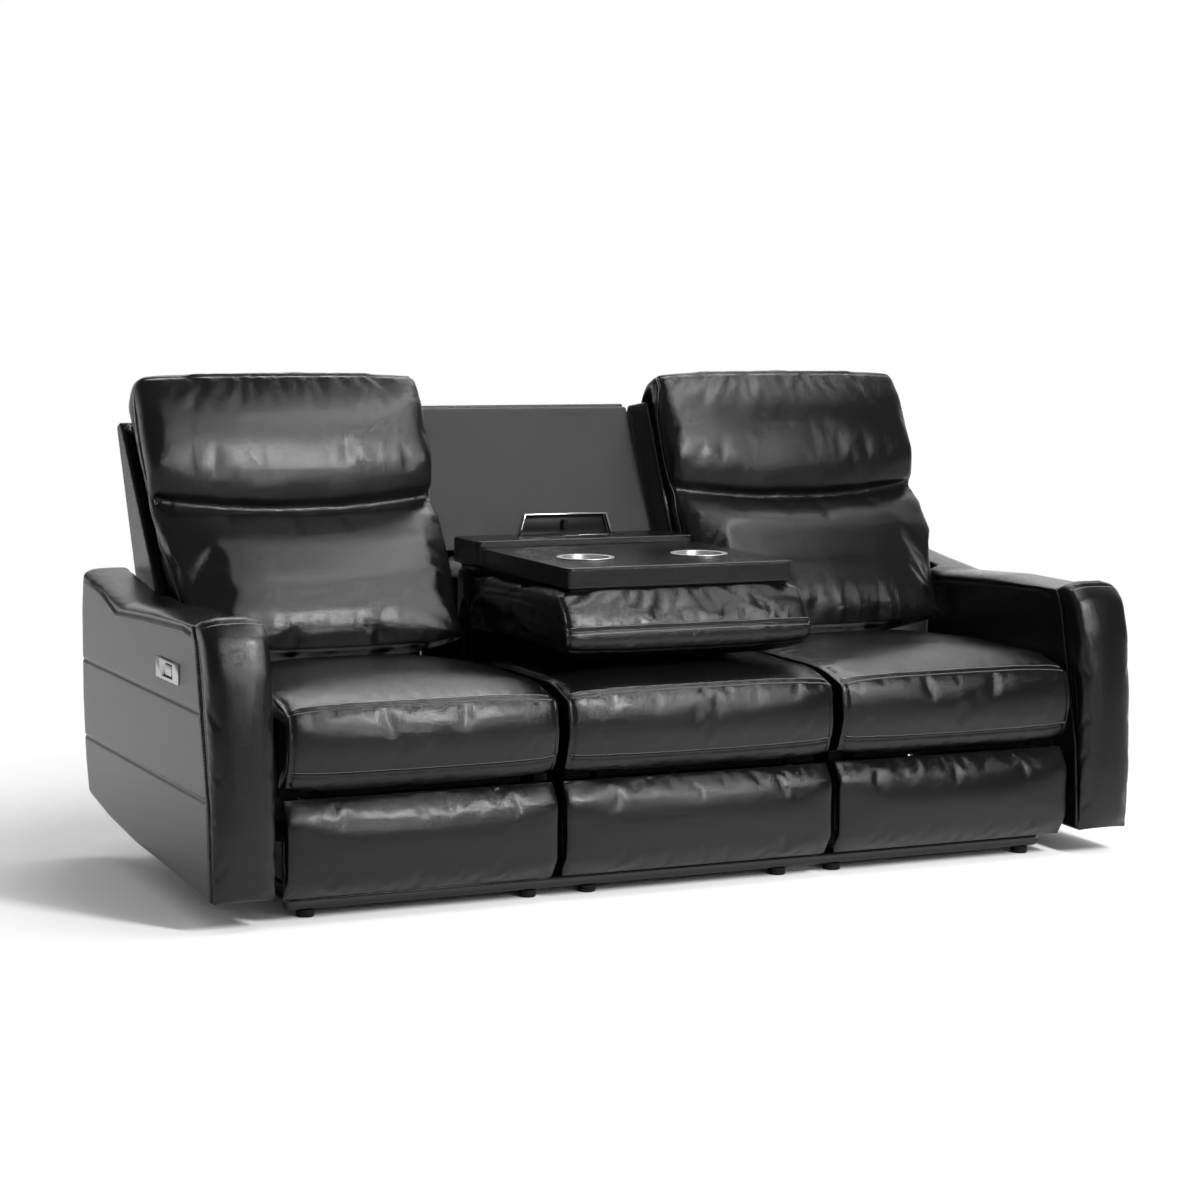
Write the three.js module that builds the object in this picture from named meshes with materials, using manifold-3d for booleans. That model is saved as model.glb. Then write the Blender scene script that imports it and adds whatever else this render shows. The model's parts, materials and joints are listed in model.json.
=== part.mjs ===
// Three-seat reclining sofa. The middle back folds down into a console with a tray and two cup holders,
// and each end seat has a reclining back and a footrest that swings out from under the seat.
// Millimetres. +X is to the viewer's right, +Y to the back and +Z up. While the pieces are made, y = 0 is
// the front plane of the arms; at the end the group is centred on its own footprint.
import * as THREE from "three";
import { mergeVertices } from "three/addons/utils/BufferGeometryUtils.js";
import Module from "manifold-3d";

const wasm = await Module();
wasm.setup();

// Driving dimensions
const sofaWidth = 2200;
const armWidth = 140; // outer side panel to the inner face beside the seat
const armRearWidth = 105; // the arm is thinner behind, where the back stands beside it
const armDepth = 960;
const armHeight = 624; // the highest point, at the rear
const armLift = 60; // floor to the arm's lower edge at its front
const armGap = 23; // arm to seat
const middleWidth = 642; // the middle seat
const unitGap = 16; // seat to seat
const seatNose = -45; // the seat's crowned front stands proud of the arms
const seatUnder = 264; // floor to the lower edge of the seat's front border
const seatTop = 483;
const sideSeatRear = 530;
const middleSeatRear = 458;
const backLean = THREE.MathUtils.degToRad(23.6);
const backHeel = new THREE.Vector2(865, 600); // a point (y, z) on the outer face of the back
const reclinePivot = new THREE.Vector2(580, 400);
const consolePivot = new THREE.Vector2(600, 550);

// Clearances and small shared sizes
const seatGap = 0.3; // between two pieces that rest on each other
const pinGap = 0.4; // round a pin in its hole
const panelGap = 4; // between the backs and the console
const overrun = 20; // how far a cut runs past what it cuts
const sliver = 0.04; // triangles flatter than this are merged away
const steelPlate = 5;
const roundSteps = 20;
const pinSteps = 16;

const halfWidth = sofaWidth / 2;
const switchProud = 2;
const armOuter = halfWidth - switchProud;
const armInner = halfWidth - armWidth;
const armRearInner = halfWidth - armRearWidth;
const middleHalf = middleWidth / 2;
const sideInner = middleHalf + unitGap;
const sideOuter = armInner - armGap;
const sideCentre = (sideInner + sideOuter) / 2;

// Finishes
const finish = (color, roughness, metalness) =>
  new THREE.MeshStandardMaterial({ color, roughness, metalness });
const leather = finish(0x151517, 0.32, 0);
const dullLeather = finish(0x1d1d1f, 0.5, 0);
const blackSteel = finish(0x101010, 0.35, 0.8);
const zincSteel = finish(0x6b6e72, 0.42, 0.9);
const chrome = finish(0xe6e6e6, 0.1, 1);
const brushedSteel = finish(0x9a9a9a, 0.35, 1);
const blackPlastic = finish(0x0c0c0c, 0.4, 0);
const timber = finish(0x2b231b, 0.7, 0);

// Solids and booleans
function solid(geometry) {
  const bare = geometry.index ? geometry.toNonIndexed() : geometry.clone();
  bare.deleteAttribute("normal");
  bare.deleteAttribute("uv");
  const merged = mergeVertices(bare);
  const triVerts = new Uint32Array(merged.index.array);
  const vertProperties = new Float32Array(merged.attributes.position.array);
  const made = new wasm.Manifold(new wasm.Mesh({ numProp: 3, vertProperties, triVerts }));
  if (made.volume() > 0) return made;
  for (let i = 0; i < triVerts.length; i += 3)
    [triVerts[i + 1], triVerts[i + 2]] = [triVerts[i + 2], triVerts[i + 1]];
  return new wasm.Manifold(new wasm.Mesh({ numProp: 3, vertProperties, triVerts }));
}

const joined = (first, ...others) => others.reduce((whole, other) => whole.add(other), first);

const cut = (first, ...tools) => tools.reduce((whole, tool) => whole.subtract(tool), first);

function drawn(manifold, mirrored) {
  const { vertProperties, triVerts, numProp } = manifold.simplify(sliver).getMesh();
  const positions = new Float32Array((vertProperties.length / numProp) * 3);
  for (let i = 0; i < positions.length / 3; i++)
    for (let axis = 0; axis < 3; axis++)
      positions[3 * i + axis] = vertProperties[numProp * i + axis] * (mirrored && axis === 0 ? -1 : 1);
  const index = Array.from(triVerts);
  if (mirrored)
    for (let i = 0; i < index.length; i += 3) [index[i + 1], index[i + 2]] = [index[i + 2], index[i + 1]];
  const geometry = new THREE.BufferGeometry();
  geometry.setAttribute("position", new THREE.BufferAttribute(positions, 3));
  geometry.setIndex(index);
  geometry.computeVertexNormals();
  return geometry;
}

const sofa = new THREE.Group();

function add(name, manifold, material) {
  const mesh = new THREE.Mesh(drawn(manifold, false), material);
  mesh.name = name;
  sofa.add(mesh);
}

// A piece that both ends of the sofa have: it is made on the right and mirrored to the left.
function addPair(name, manifold, material) {
  add("right_" + name, manifold, material);
  const mesh = new THREE.Mesh(drawn(manifold, true), material);
  mesh.name = "left_" + name;
  sofa.add(mesh);
}

// Simple forms
function box(x0, x1, y0, y1, z0, z1) {
  const geometry = new THREE.BoxGeometry(x1 - x0, y1 - y0, z1 - z0);
  return solid(geometry.translate((x0 + x1) / 2, (y0 + y1) / 2, (z0 + z1) / 2));
}

// A (y, z) outline carried along X. The shape's own X, Y and depth become Y, Z and X.
const sideways = new THREE.Matrix4().set(0, 0, 1, 0, 1, 0, 0, 0, 0, 1, 0, 0, 0, 0, 0, 1);

function plate(points, x0, x1) {
  const shape = new THREE.Shape(points.map(([y, z]) => new THREE.Vector2(y, z)));
  const geometry = new THREE.ExtrudeGeometry(shape, { depth: x1 - x0, bevelEnabled: false });
  return solid(geometry.applyMatrix4(sideways).translate(x0, 0, 0));
}

// An upright board with a rounded plan and eased edges.
function easedSlab(x0, x1, y0, y1, z0, z1, corner, ease) {
  const shape = new THREE.Shape();
  const [left, right, front, back] = [x0 + ease, x1 - ease, y0 + ease, y1 - ease];
  shape.moveTo(left + corner, front);
  shape.lineTo(right - corner, front);
  shape.absarc(right - corner, front + corner, corner, -Math.PI / 2, 0);
  shape.absarc(right - corner, back - corner, corner, 0, Math.PI / 2);
  shape.absarc(left + corner, back - corner, corner, Math.PI / 2, Math.PI);
  shape.absarc(left + corner, front + corner, corner, Math.PI, 1.5 * Math.PI);
  const bevel = { bevelThickness: ease, bevelSize: ease, bevelSegments: 2 };
  const options = { depth: z1 - z0 - 2 * ease, curveSegments: 5, ...bevel };
  return solid(new THREE.ExtrudeGeometry(shape, options).translate(0, 0, z0 + ease));
}

function rodAlongX(x0, x1, centre, radius, steps) {
  const geometry = new THREE.CylinderGeometry(radius, radius, x1 - x0, steps).rotateZ(Math.PI / 2);
  return solid(geometry.translate((x0 + x1) / 2, centre.x, centre.y));
}

function postAlongZ(x, y, z0, z1, radius, steps) {
  const geometry = new THREE.CylinderGeometry(radius, radius, z1 - z0, steps).rotateX(Math.PI / 2);
  return solid(geometry.translate(x, y, (z0 + z1) / 2));
}

// A flat link with round eyes at both ends, in a plane of constant x.
function link(x0, x1, from, to, eyeRadius) {
  const along = to.clone().sub(from);
  const across = new THREE.Vector2(-along.y, along.x).setLength(eyeRadius);
  const corners = [from.clone().add(across), from.clone().sub(across), to.clone().sub(across),
    to.clone().add(across)];
  const bar = plate(corners.map((p) => [p.x, p.y]), x0, x1);
  return joined(bar, rodAlongX(x0, x1, from, eyeRadius, roundSteps),
    rodAlongX(x0, x1, to, eyeRadius, roundSteps));
}

// Stuffed forms. An outline is a ring of spans: each span is a smooth curve through its points, and two
// spans meet in a sewn crease.
const fitted = (spanShares, a0, a1, b0, b1) =>
  spanShares.map((span) => span.map(([a, b]) => [a0 + a * (a1 - a0), b0 + b * (b1 - b0)]));

function outline(spans, steps) {
  const ring = [];
  for (const span of spans) {
    const points = span.map(([a, b]) => new THREE.Vector2(a, b));
    if (points.length === 2) ring.push(points[0]);
    else {
      const curve = new THREE.SplineCurve(points);
      for (let i = 0; i < steps; i++) ring.push(curve.getPoint(i / steps));
    }
  }
  return ring;
}

function drawnIn(ring, depthAt) {
  return ring.map((point, i) => {
    const before = ring[(i + ring.length - 1) % ring.length];
    const after = ring[(i + 1) % ring.length];
    const edge = after.clone().sub(before).normalize();
    return point.clone().add(new THREE.Vector2(-edge.y, edge.x).multiplyScalar(depthAt(point)));
  });
}

// Rings of equal count, joined one after the other and closed at each end by the faces of a flat outline.
function lofted(rings, flat) {
  const count = rings[0].length;
  const positions = rings.flat().flatMap((p) => [p.x, p.y, p.z]);
  const index = [];
  for (let r = 0; r + 1 < rings.length; r++)
    for (let i = 0; i < count; i++) {
      const [a, b] = [r * count + i, r * count + ((i + 1) % count)];
      index.push(a, b, b + count, a, b + count, a + count);
    }
  const last = (rings.length - 1) * count;
  for (const [a, b, c] of THREE.ShapeUtils.triangulateShape(flat, []))
    index.push(a, c, b, last + a, last + b, last + c);
  const geometry = new THREE.BufferGeometry();
  geometry.setAttribute("position", new THREE.BufferAttribute(new Float32Array(positions), 3));
  geometry.setIndex(index);
  return solid(geometry);
}

// The form is full in the middle of its width and drawn in towards both ends. The outline runs
// anticlockwise seen from +X, with y to the right, so that inwards is to its left.
const stationShares = [-1, -0.975, -0.9, -0.76, -0.5, 0, 0.5, 0.76, 0.9, 0.975, 1];

function stuffed(ring, x0, x1, draw, options = {}) {
  const { holdShare = () => 1, shift = (x, y, z) => [x, y, z] } = options;
  const rings = stationShares.map((t) => {
    const slack = draw * (1 - (1 - Math.abs(t) ** 3) ** 0.4);
    const x = (x0 + x1) / 2 + ((x1 - x0) / 2) * t;
    return drawnIn(ring, (p) => slack * holdShare(p.x, p.y)).map(
      (p) => new THREE.Vector3(...shift(x, p.x, p.y, t)),
    );
  });
  return lofted(rings, ring);
}

const smooth = THREE.MathUtils.smoothstep;

// Front rail and glides
const railHeight = 30;
const railDepth = 40;
const railFront = 45;
const railEase = 8;
const glideHeight = 16;
const glideRadius = 19;
const railRear = railFront + railDepth;
const railTop = glideHeight + railHeight;
const middleRunnerInset = 89;
const innerRunnerInset = 34;
const outerRunnerInset = 70;
const railEnd = 47; // the rail runs this far past its outer glide
const middleRunnerX = middleHalf - middleRunnerInset;
const innerRunnerX = sideInner + innerRunnerInset;
const outerRunnerX = sideOuter - outerRunnerInset;
const railHalf = outerRunnerX + railEnd;

add("front_rail",
  easedSlab(-railHalf, railHalf, railFront, railRear, glideHeight, railTop,
    railDepth / 2 - railEase - seatGap, railEase),
  blackSteel);

const glide = (x) =>
  postAlongZ(x, (railFront + railRear) / 2, 0, glideHeight - seatGap, glideRadius, roundSteps);
addPair("middle_front_glide", glide(middleRunnerX), blackPlastic);
addPair("inner_front_glide", glide(innerRunnerX), blackPlastic);
addPair("outer_front_glide", glide(outerRunnerX), blackPlastic);

// Base frames: two runners on welded rear feet, cross bars, and an upright plate on each runner
const runnerWidth = 30;
const runnerRear = 800;
const footRadius = 17;
const footInset = 25;
const crossWidth = 30;
const frontCrossY = 330;
const rearCrossY = 700;
const weld = 1; // how far welded parts run into each other
const deckUnder = 386;
const deckThickness = 15;
const deckTop = deckUnder + deckThickness;
const pivotEye = 26;
const pivotPin = 8;
const drivePivot = new THREE.Vector2(109, 268);
const driveLength = 202;
const driveAngle = THREE.MathUtils.degToRad(-29.6);
const footrestPivot = new THREE.Vector2(45, 171);
const linkEye = 12;
const linkThickness = 6;
const linkGap = 4;
const pinHead = 3;
const armSpan = linkThickness + linkGap;
const driveArmInner = innerRunnerX + steelPlate / 2 + linkGap;
const driveArmOuter = outerRunnerX - steelPlate / 2 - linkGap;
const drivePin = 7;
const linkPin = 6;
const plateFront = 88;
const plateFoot = 500;
const plateRear = 545;
const plateKneeHeight = 200;
const plateTop = deckUnder - seatGap;
const armBracketWidth = 40;
const armBracketHeight = 40;
const armBracketFoot = 130;
const armBracketFronts = [200, 450];

const runner = (x, rear, foot) =>
  joined(box(x - runnerWidth / 2, x + runnerWidth / 2, railRear + seatGap, rear, glideHeight, railTop),
    postAlongZ(x, foot, 0, railTop - weld, footRadius, roundSteps));

const crossBar = (x0, x1, y) => box(x0, x1, y, y + crossWidth, glideHeight, railTop);

// The plate of a reclining unit carries the drive pivot at its front and the back's pivot behind.
function sidePlate(x) {
  const [x0, x1] = [x - steelPlate / 2, x + steelPlate / 2];
  const [eyeFront, eyeRear] = [reclinePivot.x - pivotEye, reclinePivot.x + pivotEye];
  const points = [[plateFront, railTop - weld], [plateFoot, railTop - weld], [plateRear, plateKneeHeight],
    [eyeRear, reclinePivot.y], [eyeFront, reclinePivot.y], [plateRear + panelGap, plateTop],
    [plateFront, plateTop]];
  const flat = joined(plate(points, x0, x1), rodAlongX(x0, x1, reclinePivot, pivotEye, roundSteps));
  return cut(flat,
    rodAlongX(x0 - overrun, x1 + overrun, reclinePivot, pivotPin + pinGap, roundSteps),
    rodAlongX(x0 - overrun, x1 + overrun, drivePivot, drivePin + pinGap, roundSteps));
}

const armBracket = (front) =>
  box(outerRunnerX, armInner - seatGap, front, front + armBracketWidth, armBracketFoot,
    armBracketFoot + armBracketHeight);

const sideFoot = runnerRear - footInset;
addPair("base_frame",
  joined(runner(innerRunnerX, runnerRear, sideFoot), runner(outerRunnerX, runnerRear, sideFoot),
    crossBar(innerRunnerX, outerRunnerX, frontCrossY), crossBar(innerRunnerX, outerRunnerX, rearCrossY),
    sidePlate(innerRunnerX), sidePlate(outerRunnerX), ...armBracketFronts.map(armBracket)),
  blackSteel);

// The middle base frame also holds the fixed front pad and the posts of the fixed back.
const boardFront = 12; // front of the footrest boards and of the middle pad's carrier
const padCarrierThickness = 5;
const padCarrierInset = 41;
const padCarrierHalf = middleHalf - padCarrierInset;
const padCarrierFoot = 75;
const padCarrierTop = 250;
const plateShoulder = 64;
const plateShoulderHeight = 270;
const middlePlateRear = 560;
const outbackInner = 842;
const postDepth = 27;
const postTop = 400;
const middleRear = outbackInner - seatGap;

const middlePlate = (x) =>
  plate([[boardFront, padCarrierFoot], [plateFront, padCarrierFoot], [plateFront, railTop - weld],
    [middlePlateRear, railTop - weld], [middlePlateRear, plateTop], [plateShoulder, plateTop],
    [plateShoulder, plateShoulderHeight], [boardFront, padCarrierTop]],
  x - steelPlate / 2, x + steelPlate / 2);

const middlePost = (x) =>
  box(x - runnerWidth / 2, x + runnerWidth / 2, middleRear - postDepth, middleRear, railTop - weld, postTop);

const middleFoot = middleRear - footInset;
add("middle_base_frame",
  joined(...[-middleRunnerX, middleRunnerX].flatMap((x) =>
    [runner(x, middleRear, middleFoot), middlePlate(x), middlePost(x)]),
  crossBar(-middleRunnerX, middleRunnerX, frontCrossY), crossBar(-middleRunnerX, middleRunnerX, rearCrossY),
  box(-padCarrierHalf, padCarrierHalf, boardFront, boardFront + padCarrierThickness, padCarrierFoot,
    padCarrierTop)),
  blackSteel);

// Arms: a padded body over a timber core, and a separate pillow on the front
const armFoot = -28;
const armRear = armFoot + armDepth;
const armCrown = 20; // the top is this much higher in the middle of the arm's width
const armFrontTop = 84;
const armTop = armHeight + armCrown;
const armFrontShares = [[0.094, 0.873], [0.062, 0.636], [0.016, 0.339], [0, 0]];
const armShares = [
  [[0, 0], [0.3, 0.012], [0.561, 0.031], [0.767, 0.064], [0.941, 0.112]],
  [[0.941, 0.112], [0.97, 0.237], [0.981, 0.353], [1, 0.634], [0.994, 0.881], [0.974, 0.993]],
  [[0.974, 0.993], [0.91, 0.992], [0.795, 0.946], [0.696, 0.919], [0.57, 0.925], [0.453, 0.936],
    [0.188, 0.956], [0.117, 0.932]],
  [[0.117, 0.932], armFrontShares[0]],
  [armFrontShares[0], armFrontShares[1]],
  [armFrontShares[1], armFrontShares[2]],
  [armFrontShares[2], armFrontShares[3]],
];
const armSplineSteps = 4;
const coreInnerPadding = 42;
const coreOuterPadding = 36;
const coreInner = armInner + coreInnerPadding;
const coreOuter = armOuter - coreOuterPadding;
const coreFront = 100;
const coreRear = 800;
const coreFootFront = 92;
const coreFootRear = 134;
const coreTop = 500;
const coreKnee = 500;
const rearStep = 640; // behind this the arm's inner face stands back to clear the back's wing
const switchFront = 174;
const switchRear = 330;
const switchFoot = 472;
const switchTop = 515;
const recessLength = 76;
const recessHeight = 31;
const recessDepth = 12;
const recessWall = 2;
const switchMiddle = new THREE.Vector2((switchFront + switchRear) / 2, (switchFoot + switchTop) / 2);

const armFits = (spans) => fitted(spans, armFoot, armRear, armLift, armTop);
const armRing = outline(armFits(armShares), armSplineSteps);
const corePoints = (grow) => [[coreFront - grow, coreFootFront], [coreKnee, coreFootFront],
  [coreRear + grow, coreFootRear], [coreRear + grow, coreTop + grow], [coreFront - grow, coreTop + grow]];
const coreBelow = box(coreInner - seatGap, coreOuter + seatGap, coreFront - seatGap, coreRear + seatGap,
  -overrun, coreFootRear + seatGap);
const recessBlock = (x0, x1, grow) =>
  box(x0, x1, switchMiddle.x - recessLength / 2 - grow, switchMiddle.x + recessLength / 2 + grow,
    switchMiddle.y - recessHeight / 2 - grow, switchMiddle.y + recessHeight / 2 + grow);
const recessFloor = armOuter - recessDepth;

addPair("arm_frame", plate(corePoints(0), coreInner, coreOuter), timber);
addPair("arm_body",
  cut(stuffed(armRing, armInner, armOuter, armCrown, {
    holdShare: (y) => smooth(y, armFrontTop, armFrontTop + armWidth),
  }),
  plate(corePoints(seatGap), coreInner - seatGap, coreOuter + seatGap), coreBelow,
  box(armInner - overrun, armRearInner, rearStep, armRear + overrun, 0, armTop + overrun),
  recessBlock(recessFloor - recessWall - seatGap, armOuter + overrun, recessWall + seatGap)),
  leather);

const armPadFront = -56;
const armPadFoot = 56;
const armPadTop = 624;
const armPadDraw = 20;
const armPadShares = [
  [[1, 0.985], [0.83, 0.998], [0.687, 0.995], [0.508, 0.975], [0.344, 0.937], [0.208, 0.861],
    [0.115, 0.729], [0.043, 0.553], [0, 0.324], [0.014, 0.13], [0.07, 0.036], [0.157, 0]],
];
const armPadRear = outline(armFits([...armShares.slice(3)]), armSplineSteps).reverse();
const armPadRing = [
  armRing[0].clone(), ...armPadRear,
].map((point) => point.clone().sub(new THREE.Vector2(seatGap, 0)));
const armPadFace = outline(fitted(armPadShares, armPadFront, armFrontTop - seatGap, armPadFoot, armPadTop),
  armSplineSteps * 2);
addPair("arm_front_pad",
  stuffed([...armPadRing, ...armPadFace.slice(1)], armInner, armOuter, armPadDraw, {
    holdShare: (y, z) => (armPadRing.some((p) => p.x === y && p.y === z) ? 0 : 1),
  }),
  leather);

// Recline switch: a plate with a recess in the outside of the arm, and a rocker in the recess
const rockerLength = 40;
const rockerHeight = 22;
const rockerDepth = 8;
const rockerPin = 2;
const rockerLift = 1.5;
const rockerPivotX = recessFloor + rockerDepth / 2;

const rockerHinge = (grow) =>
  postAlongZ(rockerPivotX, switchMiddle.x, switchMiddle.y - recessHeight / 2 - recessWall / 2 - grow,
    switchMiddle.y + recessHeight / 2 + recessWall / 2 + grow, rockerPin + grow, pinSteps);
addPair("switch_plate",
  cut(joined(box(armOuter + seatGap, halfWidth, switchFront, switchRear, switchFoot, switchTop),
    recessBlock(recessFloor - recessWall, armOuter + seatGap + weld, recessWall)),
  recessBlock(recessFloor, halfWidth + overrun, 0), rockerHinge(seatGap)),
  brushedSteel);
addPair("switch_rocker",
  joined(box(recessFloor + rockerLift + rockerPin, recessFloor + rockerDepth + rockerLift + rockerPin,
    switchMiddle.x - rockerLength / 2, switchMiddle.x + rockerLength / 2,
    switchMiddle.y - rockerHeight / 2, switchMiddle.y + rockerHeight / 2),
  box(rockerPivotX - rockerPin, rockerPivotX + rockerPin, switchMiddle.x - rockerPin,
    switchMiddle.x + rockerPin, switchMiddle.y - rockerHeight / 2, switchMiddle.y + rockerHeight / 2),
  rockerHinge(0)),
  brushedSteel);

// Seats: a plywood deck with a front board, and the cushion over both
const deckFront = 34.3;
const frontBoard = 18;
const frontBoardFoot = 290;
const frontBoardDrop = 252; // its lower edge between the links of the footrest
const linkClear = 6;
const deckInset = 4;
const middleDeckInset = 21;
const middleDeckHalf = middleHalf - middleDeckInset;
const middleDeckRear = 600;
const seatDraw = 22;
const seatSteps = 4;
const seatTopShares = [
  [1, 0.77], [0.99, 0.9], [0.913, 0.957], [0.652, 0.995], [0.357, 1], [0.13, 0.957], [0.043, 0.86]];
const seatFaceShares = [[0.043, 0.86], [0.019, 0.77], [0, 0.553], [0.002, 0.337], [0.026, 0.159]];
const seatHemShares = [[0.026, 0.159], [0.04, 0.07], [0.064, 0]];

// The front board reaches lower between the given positions, which leave the plates and links free.
const seatFrame = (x0, x1, rear, drops) =>
  joined(box(x0, x1, deckFront, rear, deckUnder, deckTop),
    box(x0, x1, deckFront, deckFront + frontBoard, frontBoardFoot, deckUnder + weld),
    ...drops.map(([from, to]) =>
      box(from, to, deckFront, deckFront + frontBoard, frontBoardDrop, frontBoardFoot + weld)));

function seatCushion(x0, x1, rear) {
  const [seatInner, seatFloor] = [deckFront - seatGap, deckTop + seatGap];
  const inside = [[[seatInner, seatUnder], [seatInner, seatFloor]], [[seatInner, seatFloor], [rear, seatFloor]]];
  const shares = [seatTopShares, seatFaceShares, seatHemShares];
  const around = fitted(shares, seatNose, rear, seatUnder, seatTop);
  const ring = outline([...inside, [[rear, seatFloor], around[0][0]], ...around,
    [around[2].at(-1), [seatInner, seatUnder]]], seatSteps);
  return stuffed(ring, x0, x1, seatDraw, {
    holdShare: (y, z) => (y > seatInner - seatGap && z < seatFloor + seatGap ? 0 : 1),
  });
}

const plateReach = steelPlate / 2 + linkGap;
const middleDrops = [[-middleDeckHalf, -middleRunnerX - plateReach],
  [-middleRunnerX + plateReach, middleRunnerX - plateReach], [middleRunnerX + plateReach, middleDeckHalf]];
const linkReach = armSpan + linkThickness + pinHead + linkClear;
const sideDrops = [[sideInner + deckInset, innerRunnerX],
  [driveArmInner + linkReach, driveArmOuter - linkReach], [outerRunnerX, sideOuter - deckInset]];
add("middle_seat_frame", seatFrame(-middleDeckHalf, middleDeckHalf, middleDeckRear, middleDrops), timber);
addPair("seat_frame", seatFrame(sideInner + deckInset, sideOuter - deckInset, plateRear, sideDrops), timber);
add("middle_seat_cushion", seatCushion(-middleHalf, middleHalf, middleSeatRear), leather);
addPair("seat_cushion", seatCushion(sideInner, sideOuter, sideSeatRear), leather);

// Front pads: the middle one is fixed, the outer ones are the footrests
const padFoot = 50;
const padTop = 252;
const padDraw = 10;
const padShares = [[
  [1, 1], [0.58, 0.99], [0.3, 0.94], [0.04, 0.72], [0, 0.5], [0.04, 0.28], [0.3, 0.06], [0.58, 0.01], [1, 0]]];
const padSteps = 3;
const padRear = boardFront - seatGap;

function frontPad(x0, x1) {
  const ring = outline([[[padRear, padFoot], [padRear, padTop]],
    ...fitted(padShares, seatNose, padRear, padFoot, padTop)], padSteps);
  return stuffed(ring, x0, x1, padDraw, { holdShare: (y) => (y > padRear - seatGap ? 0 : 1) });
}

add("middle_front_pad", frontPad(-middleHalf, middleHalf), leather);
addPair("footrest_pad", frontPad(sideInner, sideOuter), leather);

// Footrest linkage: a torque tube with two drive arms, two footrest arms with a hinge rod, and the board
const boardThickness = 18;
const boardFoot = 75;
const boardTop = 250;
const lugInnerInset = 93;
const lugOuterInset = 137;
const lugPositions = [sideInner + lugInnerInset, sideCentre, sideOuter - lugOuterInset];
const lugThickness = 8;
const driveEnd = new THREE.Vector2(Math.cos(driveAngle), Math.sin(driveAngle))
  .multiplyScalar(driveLength).add(drivePivot);
const bothSides = (build) => [build(driveArmInner, 1), build(driveArmOuter, -1)];
const stack = (x, way, from, to) => [Math.min(x + way * from, x + way * to), Math.max(x + way * from, x + way * to)];

addPair("drive_links",
  joined(rodAlongX(driveArmInner, driveArmOuter, drivePivot, linkEye, roundSteps),
    rodAlongX(innerRunnerX - steelPlate / 2, outerRunnerX + steelPlate / 2, drivePivot, drivePin, roundSteps),
    ...bothSides((x, way) =>
      joined(link(...stack(x, way, 0, linkThickness), drivePivot, driveEnd, linkEye),
        rodAlongX(...stack(x, way, linkThickness - weld, armSpan + linkThickness + pinHead), driveEnd,
          linkPin, roundSteps)))),
  blackSteel);

addPair("footrest_links",
  joined(rodAlongX(driveArmInner + armSpan, driveArmOuter - armSpan, footrestPivot, linkPin, roundSteps),
    ...bothSides((x, way) =>
      cut(link(...stack(x, way, armSpan, armSpan + linkThickness), driveEnd, footrestPivot, linkEye),
        rodAlongX(x - overrun, x + overrun, driveEnd, linkPin + pinGap, roundSteps)))),
  blackSteel);

const lug = (x) =>
  cut(joined(rodAlongX(x, x + lugThickness, footrestPivot, linkEye, roundSteps),
    box(x, x + lugThickness, boardFront + boardThickness - weld, footrestPivot.x,
      footrestPivot.y - linkEye, footrestPivot.y + linkEye)),
  rodAlongX(x - overrun, x + overrun, footrestPivot, linkPin + pinGap, roundSteps));
addPair("footrest_board",
  joined(box(sideInner + deckInset * 2, sideOuter - deckInset * 2, boardFront, boardFront + boardThickness,
    boardFoot, boardTop), ...lugPositions.map(lug)),
  timber);

// Actuator under the deck, and the carriage that its spindle moves forward
const motorWidth = 80;
const motorFront = 430;
const motorRear = 520;
const motorFoot = 300;
const trackWidth = 32;
const trackFront = 200;
const trackFoot = 350;
const carriageWidth = 44;
const carriageFront = 380;
const carriageLength = 40;
const carriageHeight = 28;

addPair("motor",
  joined(box(sideCentre - motorWidth / 2, sideCentre + motorWidth / 2, motorFront, motorRear, motorFoot,
    plateTop),
  box(sideCentre - trackWidth / 2, sideCentre + trackWidth / 2, trackFront, motorFront + weld, trackFoot,
    plateTop)),
  blackPlastic);
addPair("motor_carriage",
  box(sideCentre - carriageWidth / 2, sideCentre + carriageWidth / 2, carriageFront,
    carriageFront + carriageLength, trackFoot - seatGap - carriageHeight, trackFoot - seatGap),
  zincSteel);

// Reclining backs. A point on the back is given by its height up the lean and its depth in front of the
// outer face.
const upLean = new THREE.Vector2(Math.sin(backLean), Math.cos(backLean));
const offLean = new THREE.Vector2(-Math.cos(backLean), Math.sin(backLean));

function onBack(rise, depth) {
  const point = backHeel.clone().addScaledVector(upLean, rise).addScaledVector(offLean, depth);
  return [point.x, point.y];
}

const wallThickness = 30;
const frameThickness = 24.7;
const skirtRear = 860;
const skirtFoot = 190;
const skirtTop = 588;
const skirtInner = 842;
const outbackHalf = middleDeckHalf;
const shellInner = outbackHalf + panelGap;
const shellTop = 382;
const skirtGap = 12; // the back's skirt to the arm
const wingGap = 10; // the back's wing to the thinner rear part of the arm
const skirtHalfEnd = armInner - skirtGap;
const wingOuter = armRearInner - wingGap;
const wingThickness = 24;
const innerWingThickness = 26;
const wingHem = 500;
const wingHemFront = 735;
const wingFoot = -63;
const wingFootDepth = 145;
const wingHead = 356;
const wingHeadDepth = 42;
const innerWingTop = 408;
const innerWingTopDepth = 36;
const innerWingHead = 382;
const innerWingHeadDepth = 128;
const frameDepth = wallThickness + seatGap;
const frameFace = frameDepth + frameThickness;
const frameFootRise = -190;
const frameTopRise = 395;
const frameInset = 24;
const innerEdgeRise = 11;

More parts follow.
